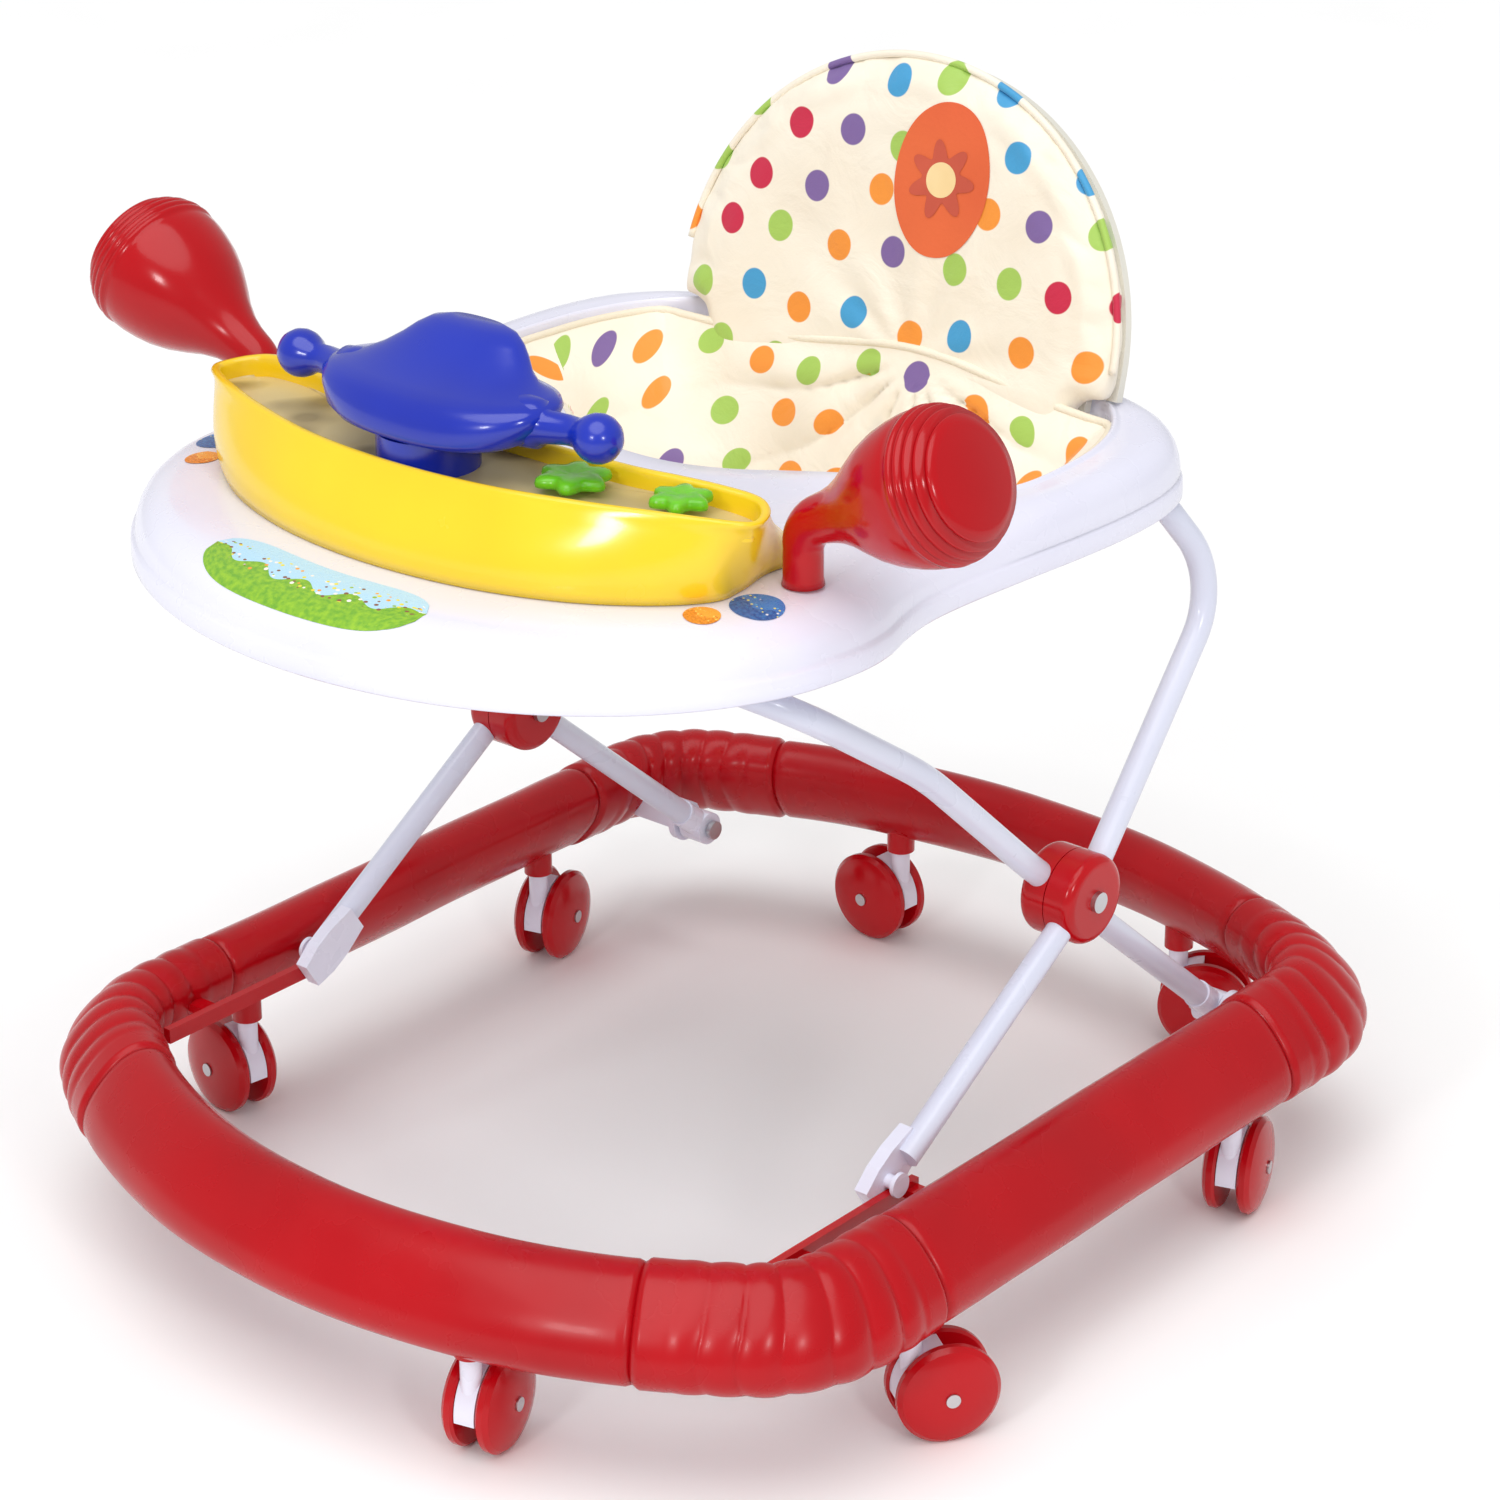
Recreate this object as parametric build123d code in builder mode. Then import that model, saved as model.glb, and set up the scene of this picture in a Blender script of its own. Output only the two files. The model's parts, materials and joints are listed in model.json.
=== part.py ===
"""Baby walker with a scissor frame, seven twin-wheel casters, a play tray and a hanging seat.

Millimetres. +Z is up and the walker faces -Y. The origin is on the floor under the centre of the
base ring. Left and right are the child's own, facing -Y, so left is +X.
"""

from build123d import *
from math import atan2, cos, degrees, radians, sin, sqrt
import os

os.makedirs("parts", exist_ok=True)

# Base ring: its centreline in plan, and the slanted oval section of its bumpers
RING_HALF_LENGTH = 330.0
RING_HALF_WIDTH = 265.0
RING_FRONT_RADIUS = 400.0
RING_REAR_RADIUS = 514.0
RING_CORNER_RADIUS = 67.0
RING_Z = 101.0
BUMPER_LONG = 33.0
BUMPER_SHORT = 21.0
BUMPER_SLANT = -50.0
SLEEVE_EXTRA = 1.2
SLEEVE_ON_FRONT = 55.0
SLEEVE_ON_REAR = 45.0
SLEEVE_ON_SIDE = 45.0
BASE_TUBE_R = 10.0
BASE_TUBE_WALL = 1.5
BASE_TUBE_JOINT_Y = 10.0

# Casters
WHEEL_R = 29.0
WHEEL_INNER = 6.6
WHEEL_RIM = 14.0
WHEEL_OUTER = 18.0
HOUSING_HALF = 6.0
CASTER_TRAIL = 18.0
STEM_R = 4.0
AXLE_R = 3.0
RUNNING = 0.05
STEM_TOP = 84.0
STEM_COLLAR_TOP = 63.5
SOCKET_R = 9.0
SOCKET_BOTTOM = 65.0
SOCKET_TOP = 86.0

# Scissor legs, in the Y-Z plane
LEG_R = 7.5
LEG_A_X = 200.0
LEG_B_X = 216.0
REAR_PIVOT = (225.0, 88.0)
HUB = (64.0, 224.0)
FOOT = (-106.0, 117.5)
TRAY_PIVOT = (140.0, 442.0)
TRAY_PIVOT_X = 196.0
CROSSBAR = (-178.0, 414.0)
HUB_R = 26.0
HUB_BOLT_R = 3.0
PIVOT_PIN_R = 4.0
RAIL_X = 218.0
RAIL_TOP = 113.0

# Tray
TRAY_BOTTOM = 431.0
TRAY_TOP = 468.0
TRAY_LIP = 446.0
TRAY_WALL = 2.5
TRAY_PLATE = 3.0
TRAY_INSET = 12.0
TRAY_NOSE_HALF_WIDTH = 229.0
TRAY_NOSE_DEPTH = 183.0
TRAY_NOSE_Y = -151.5
TRAY_HALF_WIDTH = 221.0
TRAY_REAR_Y = 207.0
TRAY_REAR_RADIUS = 99.0
TRAY_FRONT_Y = -112.0
OPENING_HALF_WIDTH = 191.0
OPENING_FRONT_Y = -60.0
OPENING_REAR_Y = 189.0
OPENING_REAR_RADIUS = 95.0
OPENING_FRONT_RADIUS = 60.0
COLLAR_BOTTOM = 434.0
COLLAR_WALL = 3.0
RIB_X = 110.0
RIB_BOTTOM = CROSSBAR[1] + LEG_R + 0.5

# Play panel and its toys
PANEL_TOP = 518.0
PANEL_WALL = 4.0
PANEL_HALF_WIDTH = 178.0
PANEL_FRONT_Y = -270.0
PANEL_REAR_Y = -112.0
PANEL_RADIUS = 300.0
PANEL_CORNER = 42.0
PANEL_TAPER = 12.0
PANEL_BACK_TOP_Y = -162.0
DECK_BOTTOM = 504.0
DECK_TOP = 508.0
STEERING_Y = -220.0
STEERING_POST_R = 27.0
STEERING_SPLIT = 527.0
STEERING_AXLE_R = 5.0
GRIP_SPAN = 104.0
GRIP_Y = -205.0
GRIP_Z = 541.0
GRIP_BALL_R = 13.0
MIRROR_BASE = (190.0, -150.0)
MIRROR_STEM_R = 10.5
MIRROR_ELBOW_Z = 506.0
MIRROR_TILT = 25.0
MIRROR_PIN_R = 4.0
FLOWERS = {"inner": (84.0, -203.0), "outer": (145.0, -185.0)}
FLOWER_R = 16.0
FLOWER_BOTTOM = 511.5
FLOWER_TOP = 517.0
FLOWER_STEM_R = 5.0

# Seat
SLING_TOP = 463.0
SLING_BOTTOM = 322.0
SLING_WALL = 5.0
SLING_HALF_WIDTH = 184.0
SLING_FRONT_Y = -53.0
SLING_REAR_Y = 138.0
LEG_HOLE_Z = 370.0
LEG_HOLE_R = 38.0
BACK_TILT = 13.6
BACK_HALF_WIDTH = 158.0
BACK_TONGUE_HALF_WIDTH = 138.0
BACK_RISE = 153.0
BACK_DROP = 52.0
BACK_SHOULDER = -16.0
BACK_BASE_Y = 155.8
BACK_BASE_Z = 490.0
BACK_PAD = 18.0
BACK_BOARD = 5.5


def save(name, builder):
    """Label a finished piece and write its STEP file."""
    builder.part.label = name
    export_step(builder.part, f"parts/{name}.step")


def rod(start, end, radius):
    """A round bar between two points, as a free-standing solid."""
    axis = Vector(*end) - Vector(*start)
    return Solid.make_cylinder(radius, axis.length, Plane(origin=start, z_dir=axis))


# ---------------------------------------------------------------- base ring

corner_x = RING_HALF_WIDTH - RING_CORNER_RADIUS
front_centre_y = -RING_HALF_LENGTH + RING_FRONT_RADIUS
rear_centre_y = RING_HALF_LENGTH - RING_REAR_RADIUS
front_corner_y = front_centre_y - sqrt((RING_FRONT_RADIUS - RING_CORNER_RADIUS) ** 2 - corner_x**2)
rear_corner_y = rear_centre_y + sqrt((RING_REAR_RADIUS - RING_CORNER_RADIUS) ** 2 - corner_x**2)
front_join = degrees(atan2(front_corner_y - front_centre_y, corner_x))
rear_join = degrees(atan2(rear_corner_y - rear_centre_y, corner_x))
front_seam = front_join - degrees(SLEEVE_ON_FRONT / RING_FRONT_RADIUS)
rear_seam = rear_join + degrees(SLEEVE_ON_REAR / RING_REAR_RADIUS)
side_front_y = front_corner_y + SLEEVE_ON_SIDE
side_rear_y = rear_corner_y - SLEEVE_ON_SIDE


def front_arc(start, stop):
    return CenterArc((0, front_centre_y, RING_Z), RING_FRONT_RADIUS, start, stop - start)


def rear_arc(start, stop):
    return CenterArc((0, rear_centre_y, RING_Z), RING_REAR_RADIUS, start, stop - start)


def corner_arc(side, y, start, stop):
    return CenterArc((side * corner_x, y, RING_Z), RING_CORNER_RADIUS, start, stop - start)


def side_line(side, y_start, y_stop):
    x = side * RING_HALF_WIDTH
    return Line((x, y_start, RING_Z), (x, y_stop, RING_Z))


def section_plane(path):
    """The plane across a path that runs anticlockwise: X points outwards and Y points up."""
    along = path % 0
    outward = along.cross(Vector(0, 0, 1))
    return Plane(origin=path @ 0, x_dir=outward, z_dir=-along)


def on_front_arc(x):
    return front_centre_y - sqrt(RING_FRONT_RADIUS**2 - x**2)


def on_rear_arc(x):
    return rear_centre_y + sqrt(RING_REAR_RADIUS**2 - x**2)


# name: stem position, and the heading from the wheel's axle to its stem, in degrees from +X
CASTERS = {
    "front": ((104.0, on_front_arc(104.0)), -76.0),
    "front_left": ((RING_HALF_WIDTH + 1, -150.0), -124.0),
    "front_right": ((-RING_HALF_WIDTH + 3, -122.0), -8.0),
    "side_left": ((RING_HALF_WIDTH + 1, 150.0), -72.0),
    "side_right": ((-RING_HALF_WIDTH - 1, 142.0), -76.0),
    "rear_left": ((112.0, on_rear_arc(112.0)), -150.0),
    "rear_right": ((-108.0, on_rear_arc(108.0)), -3.0),
}

# Whatever is let into the bumpers: caster sockets, rail blocks and bracket arms.
RAIL_THICK = 5.0
RAIL_HEIGHT = 9.0
RAIL_FRONT_Y = -226.0
RAIL_REAR_Y = -86.0
RAIL_BLOCK = (10.0, 5.0)
RAIL_BLOCK_YS = (-186.0, -92.0)
RAIL_REACH = 246.0
BRACKET_CHEEK_X = LEG_A_X + LEG_R + 3.0
BRACKET_CHEEK = 5.0
BRACKET_R = 13.0
BRACKET_REACH = 247.0
BRACKET_ARM = (20.0, 12.0)
pivot_y, pivot_z = REAR_PIVOT
sockets = [rod((x, y, SOCKET_BOTTOM), (x, y, SOCKET_TOP), SOCKET_R) for (x, y), _ in CASTERS.values()]
rail_blocks = [
    Pos(side * (RAIL_X + RAIL_REACH) / 2, y, RAIL_TOP - 6) * Box(RAIL_REACH - RAIL_X, *RAIL_BLOCK)
    for side in (1, -1)
    for y in RAIL_BLOCK_YS
]
bracket_arms = [
    Pos(side * (BRACKET_CHEEK_X + BRACKET_REACH) / 2, pivot_y, pivot_z + 3)
    * Box(BRACKET_REACH - BRACKET_CHEEK_X, *BRACKET_ARM)
    for side in (1, -1)
]
let_in = sockets + rail_blocks + bracket_arms


def swept_bumper(edges, extra=0.0):
    """A length of bumper along the ring, with the hole for the base tube."""
    with BuildPart() as piece:
        with BuildLine() as path:
            for edge in edges:
                add(edge)
        whole = path.wires()[0]
        with BuildSketch(section_plane(whole)):
            Ellipse(BUMPER_LONG + extra, BUMPER_SHORT + extra, rotation=BUMPER_SLANT)
            Circle(BASE_TUBE_R, mode=Mode.SUBTRACT)
        sweep(path=whole)
        for solid in let_in:
            add(solid, mode=Mode.SUBTRACT)
    return piece


def swept_tube(edges):
    """A length of the round steel base tube."""
    with BuildPart() as piece:
        with BuildLine() as path:
            for edge in edges:
                add(edge)
        whole = path.wires()[0]
        with BuildSketch(section_plane(whole)):
            Circle(BASE_TUBE_R)
            Circle(BASE_TUBE_R - BASE_TUBE_WALL, mode=Mode.SUBTRACT)
        sweep(path=whole)
    return piece


save("bumper_front", swept_bumper([front_arc(-180 - front_seam, front_seam)]))
save("bumper_rear", swept_bumper([rear_arc(rear_seam, 180 - rear_seam)]))
save("bumper_left", swept_bumper([side_line(1, side_front_y, side_rear_y)]))
save("bumper_right", swept_bumper([side_line(-1, side_rear_y, side_front_y)]))

front_left_edges = [
    front_arc(front_seam, front_join),
    corner_arc(1, front_corner_y, front_join, 0),
    side_line(1, front_corner_y, side_front_y),
]
rear_left_edges = [
    side_line(1, side_rear_y, rear_corner_y),
    corner_arc(1, rear_corner_y, 0, rear_join),
    rear_arc(rear_join, rear_seam),
]
rear_right_edges = [
    rear_arc(180 - rear_seam, 180 - rear_join),
    corner_arc(-1, rear_corner_y, 180 - rear_join, 180),
    side_line(-1, rear_corner_y, side_rear_y),
]
front_right_edges = [
    side_line(-1, side_front_y, front_corner_y),
    corner_arc(-1, front_corner_y, 180, 180 - front_join),
    front_arc(180 - front_join, 180 - front_seam),
]
save("corner_sleeve_front_left", swept_bumper(front_left_edges, SLEEVE_EXTRA))
save("corner_sleeve_rear_left", swept_bumper(rear_left_edges, SLEEVE_EXTRA))
save("corner_sleeve_rear_right", swept_bumper(rear_right_edges, SLEEVE_EXTRA))
save("corner_sleeve_front_right", swept_bumper(front_right_edges, SLEEVE_EXTRA))

save(
    "base_tube_front",
    swept_tube(
        [
            side_line(-1, BASE_TUBE_JOINT_Y, front_corner_y),
            corner_arc(-1, front_corner_y, 180, 180 - front_join),
            front_arc(-180 - front_join, front_join),
            corner_arc(1, front_corner_y, front_join, 0),
            side_line(1, front_corner_y, BASE_TUBE_JOINT_Y),
        ]
    ),
)
save(
    "base_tube_rear",
    swept_tube(
        [
            side_line(1, BASE_TUBE_JOINT_Y, rear_corner_y),
            corner_arc(1, rear_corner_y, 0, rear_join),
            rear_arc(rear_join, 180 - rear_join),
            corner_arc(-1, rear_corner_y, 180 - rear_join, 180),
            side_line(-1, rear_corner_y, BASE_TUBE_JOINT_Y),
        ]
    ),
)

# Height adjuster rails: a bar inside each side of the ring, held off it by blocks.
with BuildPart() as rack_rails:
    for side in (1, -1):
        with Locations((side * RAIL_X, (RAIL_FRONT_Y + RAIL_REAR_Y) / 2, RAIL_TOP - RAIL_HEIGHT / 2)):
            Box(RAIL_THICK, RAIL_REAR_Y - RAIL_FRONT_Y, RAIL_HEIGHT)
    for block in rail_blocks:
        add(block)
save("rack_rails", rack_rails)

# Rear brackets: a cheek beside each leg end, on an arm that is let into the ring.
with BuildPart() as rear_brackets:
    for side in (1, -1):
        start = (side * BRACKET_CHEEK_X, pivot_y, pivot_z)
        stop = (side * (BRACKET_CHEEK_X + BRACKET_CHEEK), pivot_y, pivot_z)
        add(rod(start, stop, BRACKET_R))
    for arm in bracket_arms:
        add(arm)
    for side in (1, -1):
        start = (side * (BRACKET_CHEEK_X - 1), pivot_y, pivot_z)
        stop = (side * (BRACKET_CHEEK_X + BRACKET_CHEEK), pivot_y, pivot_z)
        add(rod(start, stop, PIVOT_PIN_R), mode=Mode.SUBTRACT)
save("rear_brackets", rear_brackets)

with BuildPart() as rear_pivot_pins:
    for side in (1, -1):
        add(
            rod((side * (LEG_A_X - LEG_R - 4), pivot_y, pivot_z),
                (side * (BRACKET_CHEEK_X + BRACKET_CHEEK), pivot_y, pivot_z), PIVOT_PIN_R)
        )
        add(
            rod((side * (LEG_A_X - LEG_R - 6), pivot_y, pivot_z),
                (side * (LEG_A_X - LEG_R - 3), pivot_y, pivot_z), PIVOT_PIN_R + 2)
        )
save("rear_pivot_pins", rear_pivot_pins)


# ---------------------------------------------------------------- casters

with BuildPart() as caster_sockets:
    for socket in sockets:
        add(socket)
    for (x, y), _ in CASTERS.values():
        add(rod((x, y, SOCKET_BOTTOM), (x, y, SOCKET_TOP), STEM_R + RUNNING), mode=Mode.SUBTRACT)
save("caster_sockets", caster_sockets)

HOUSING_R = 27.5
AXLE_BOSS_R = 8.0


def caster_frame(stem, heading):
    """Origin at the wheel's centre; X runs towards the stem, Y up, Z along the axle."""
    towards = Vector(cos(radians(heading)), sin(radians(heading)), 0)
    centre = Vector(stem[0], stem[1], WHEEL_R) - towards * CASTER_TRAIL
    return Plane(origin=centre, x_dir=towards, z_dir=towards.cross(Vector(0, 0, 1)))


for place, (stem, heading) in CASTERS.items():
    frame = caster_frame(stem, heading)
    stem_at = Plane(origin=(stem[0], stem[1], 0))

    # A flat hood fills the space between the wheels on the stem side and carries the stem.
    with BuildPart() as housing:
        with BuildSketch(frame.offset(-HOUSING_HALF)):
            Circle(HOUSING_R)
            with Locations((-HOUSING_R + 2, 0)):
                Rectangle(2 * HOUSING_R, 4 * HOUSING_R, mode=Mode.SUBTRACT)
            with Locations((0, -HOUSING_R - 3)):
                Rectangle(4 * HOUSING_R, 2 * HOUSING_R, mode=Mode.SUBTRACT)
            Circle(AXLE_BOSS_R)
        extrude(amount=2 * HOUSING_HALF)
        with BuildSketch(stem_at.offset(WHEEL_R)):
            Circle(HOUSING_HALF)
        extrude(amount=STEM_COLLAR_TOP - WHEEL_R)
        with BuildSketch(stem_at.offset(STEM_COLLAR_TOP)):
            Circle(STEM_R)
        extrude(amount=STEM_TOP - STEM_COLLAR_TOP)
        with BuildSketch(frame.offset(-2 * HOUSING_HALF)):
            Circle(AXLE_R + RUNNING)
        extrude(amount=4 * HOUSING_HALF, mode=Mode.SUBTRACT)
    save(f"caster_{place}_housing", housing)

    # Two domed discs, one on each end of the axle.
    half_profile = [
        (AXLE_R, WHEEL_INNER),
        (WHEEL_R - 1.5, WHEEL_INNER),
        (WHEEL_R, WHEEL_INNER + 1.5),
        (WHEEL_R, WHEEL_RIM - 2.5),
        (WHEEL_R - 2.5, WHEEL_RIM),
    ]
    with BuildPart() as wheels:
        for flip in (1, -1):
            with BuildSketch(Plane(origin=frame.origin, x_dir=frame.x_dir, z_dir=-frame.y_dir)):
                with BuildLine():
                    edge = Polyline(*[(r, flip * s) for r, s in half_profile])
                    dome = ThreePointArc(
                        edge @ 1,
                        (WHEEL_R * 0.5, flip * (WHEEL_OUTER - 0.6)),
                        (AXLE_R, flip * WHEEL_OUTER),
                    )
                    Line(dome @ 1, edge @ 0)
                make_face()
            revolve(axis=Axis(frame.origin, frame.z_dir))
    save(f"caster_{place}_wheels", wheels)

    with BuildPart() as axle:
        with BuildSketch(frame.offset(-WHEEL_OUTER - 1)):
            Circle(AXLE_R)
        extrude(amount=2 * WHEEL_OUTER + 2)
        with BuildSketch(frame.offset(WHEEL_OUTER + 0.2), frame.offset(-WHEEL_OUTER - 1.2)):
            Circle(AXLE_R + 1)
        extrude(amount=1)
    save(f"caster_{place}_axle", axle)


# ---------------------------------------------------------------- scissor legs


def round_tube(points, radii, radius=LEG_R):
    """A round leg tube along straight runs joined by tangent arcs."""
    with BuildPart() as piece:
        with BuildLine() as path:
            FilletPolyline(*points, radius=radii)
        whole = path.wires()[0]
        with BuildSketch(Plane(origin=whole @ 0, z_dir=whole % 0)):
            Circle(radius)
        sweep(path=whole)
    return piece


def leg_a_point(side, y, z):
    return (side * LEG_A_X, y, z)


# The front leg is one U-shaped tube: up from the rear pivots, through the hubs and across
# under the front of the tray.
CAP_LENGTH = 24.0
reach = sqrt((HUB[0] - pivot_y) ** 2 + (HUB[1] - pivot_z) ** 2)
along_a = ((HUB[0] - pivot_y) / reach, (HUB[1] - pivot_z) / reach)
cap_end = (pivot_y + along_a[0] * CAP_LENGTH, pivot_z + along_a[1] * CAP_LENGTH)
bend_a = (HUB[0] + along_a[0] * 40, HUB[1] + along_a[1] * 40)
knee = (-60.0, 334.5)
CROSSBAR_CORNER = 45.0
front_leg = round_tube(
    [
        leg_a_point(1, *cap_end),
        leg_a_point(1, *bend_a),
        leg_a_point(1, *knee),
        leg_a_point(1, *CROSSBAR),
        leg_a_point(-1, *CROSSBAR),
        leg_a_point(-1, *knee),
        leg_a_point(-1, *bend_a),
        leg_a_point(-1, *cap_end),
    ],
    [300.0, 300.0, CROSSBAR_CORNER, CROSSBAR_CORNER, 300.0, 300.0],
)
with BuildPart() as front_leg_tube:
    add(front_leg.part)
    add(
        rod((-LEG_A_X - 20, *HUB), (LEG_A_X + 20, *HUB), HUB_BOLT_R + RUNNING),
        mode=Mode.SUBTRACT,
    )
save("front_leg_tube", front_leg_tube)

# Plastic ends of the front leg, with the bores that turn on the rear pivot pins.
with BuildPart() as leg_end_caps:
    for side in (1, -1):
        add(rod(leg_a_point(side, pivot_y, pivot_z), leg_a_point(side, *cap_end), LEG_R + 1))
        add(
            rod((side * (LEG_A_X - LEG_R - 1), pivot_y, pivot_z),
                (side * (LEG_A_X + LEG_R + 1), pivot_y, pivot_z), LEG_R + 3)
        )
    add(rod((-LEG_A_X - 20, *REAR_PIVOT), (LEG_A_X + 20, *REAR_PIVOT), PIVOT_PIN_R + RUNNING),
        mode=Mode.SUBTRACT)
save("leg_end_caps", leg_end_caps)

# Each rear leg stands on the rail, leans back through the hub and curves up into the tray.
foot_reach = sqrt((HUB[0] - FOOT[0]) ** 2 + (HUB[1] - FOOT[1]) ** 2)
along_b = ((HUB[0] - FOOT[0]) / foot_reach, (HUB[1] - FOOT[1]) / foot_reach)
foot_end = (FOOT[0] + along_b[0] * 16, FOOT[1] + along_b[1] * 16)
top = (TRAY_PIVOT_X, *TRAY_PIVOT)
bare_leg = round_tube(
    [(LEG_B_X, *foot_end), (LEG_B_X, *HUB), (LEG_B_X, 187.0, 376.0), top],
    [60.0, 48.0],
).part
rear_leg_solids = [bare_leg, mirror(bare_leg, about=Plane.YZ)]
with BuildPart() as rear_leg_left:
    add(bare_leg)
    add(rod((top[0] - LEG_R, *TRAY_PIVOT), (top[0] + LEG_R, *TRAY_PIVOT), LEG_R))
    add(rod((top[0] - 20, *TRAY_PIVOT), (top[0] + 20, *TRAY_PIVOT), PIVOT_PIN_R + RUNNING),
        mode=Mode.SUBTRACT)
    add(rod((LEG_B_X - 20, *HUB), (LEG_B_X + 20, *HUB), HUB_BOLT_R), mode=Mode.SUBTRACT)
save("rear_leg_left", rear_leg_left)

with BuildPart() as rear_leg_right:
    add(mirror(rear_leg_left.part, about=Plane.YZ))
save("rear_leg_right", rear_leg_right)

# Feet: a flattened clip on each rear leg, with a pin that rides on the rail and a
# retaining disc in the gap between the rail and the ring.
SLIDE_PIN_R = 4.0
FOOT_INNER_X = RAIL_X - RAIL_THICK / 2 - 0.5
with BuildPart() as leg_feet:
    for side in (1, -1):
        foot_plane = Plane(
            origin=(side * (LEG_B_X - LEG_R - 2), *FOOT), x_dir=(0, *along_b), z_dir=(side, 0, 0)
        )
        with BuildSketch(foot_plane):
            with BuildLine():
                Polyline((-16, -9), (-16, 9), (-2, 12), (12, 12), (30, 9), (30, -9), (12, -12),
                         (-2, -12), close=True)
            make_face()
        extrude(amount=FOOT_INNER_X - (LEG_B_X - LEG_R - 2))
        add(
            rod((side * FOOT_INNER_X, *FOOT), (side * (RAIL_X + RAIL_THICK / 2 + 3.5), *FOOT), SLIDE_PIN_R)
        )
        add(
            rod((side * (RAIL_X + RAIL_THICK / 2 + 1), *FOOT),
                (side * (RAIL_X + RAIL_THICK / 2 + 3.5), *FOOT), SLIDE_PIN_R + 3)
        )
    for leg_solid in rear_leg_solids:
        add(leg_solid, mode=Mode.SUBTRACT)
save("leg_feet", leg_feet)


def hub_half(side, near_x, far_x, leg_solid, bolt_r):
    """Half of a hub: a round shell around its leg, rounded on the side away from its partner."""
    with BuildPart() as half:
        add(rod((side * near_x, *HUB), (side * far_x, *HUB), HUB_R))
        rims = half.edges().filter_by(GeomType.CIRCLE)
        fillet(rims.sort_by_distance((side * near_x, *HUB))[-1], 6)
        add(leg_solid, mode=Mode.SUBTRACT)
        add(rod((side * (near_x - 30), *HUB), (side * (near_x + 30), *HUB), bolt_r), mode=Mode.SUBTRACT)
    return half.part


HUB_SPLIT = (LEG_A_X + LEG_B_X) / 2
with BuildPart() as hub_inner_halves:
    for side in (1, -1):
        add(hub_half(side, HUB_SPLIT - 0.3, HUB_SPLIT - 18, front_leg.part, HUB_BOLT_R + RUNNING))
save("hub_inner_halves", hub_inner_halves)

with BuildPart() as hub_outer_halves:
    for side, leg_solid in zip((1, -1), rear_leg_solids):
        add(hub_half(side, HUB_SPLIT + 0.3, HUB_SPLIT + 18, leg_solid, HUB_BOLT_R))
save("hub_outer_halves", hub_outer_halves)

with BuildPart() as hub_bolts:
    for side in (1, -1):
        inner = side * (HUB_SPLIT - 18.6)
        outer = side * (HUB_SPLIT + 18)
        add(rod((inner - side * 3, *HUB), (outer + side * 3, *HUB), HUB_BOLT_R))
        add(rod((inner - side * 3, *HUB), (inner, *HUB), HUB_BOLT_R + 3))
        add(rod((outer, *HUB), (outer + side * 3, *HUB), HUB_BOLT_R + 3))
save("hub_bolts", hub_bolts)


# ---------------------------------------------------------------- tray


def nose_face(z, inset):
    with BuildSketch(Plane.XY.offset(z)) as face:
        with Locations((0, TRAY_NOSE_Y)):
            Ellipse(TRAY_NOSE_HALF_WIDTH - inset, TRAY_NOSE_DEPTH - inset)
    return face


def rounded_block_face(z, half_width, front_y, rear_y, front_radius, rear_radius):
    """A rectangle with its own radius on the front and the rear corners."""
    with BuildSketch(Plane.XY.offset(z)) as face:
        with Locations((0, (front_y + rear_y) / 2)):
            Rectangle(2 * half_width, rear_y - front_y)
        fillet(face.vertices().group_by(Axis.Y)[0], front_radius)
        fillet(face.vertices().group_by(Axis.Y)[-1], rear_radius)
    return face


def rear_face(z, inset):
    return rounded_block_face(
        z,
        TRAY_HALF_WIDTH - inset,
        TRAY_FRONT_Y,
        TRAY_REAR_Y - inset,
        20.0,
        TRAY_REAR_RADIUS - inset,
    )


def tray_block(inset, bottom, top, straight_to):
    """The outside of the tray, or its hollow: straight skirt, then leaning in to the top."""
    with BuildPart() as block:
        for face in (nose_face, rear_face):
            extrude(face(bottom, inset).sketch, amount=straight_to - bottom)
            loft([face(straight_to, inset).sketch.faces()[0],
                  face(top, inset + TRAY_INSET).sketch.faces()[0]], ruled=True)
    return block.part


def opening_face(z, extra):
    return rounded_block_face(
        z,
        OPENING_HALF_WIDTH + extra,
        OPENING_FRONT_Y - extra,
        OPENING_REAR_Y + extra,
        OPENING_FRONT_RADIUS + extra,
        OPENING_REAR_RADIUS + extra,
    )


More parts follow.
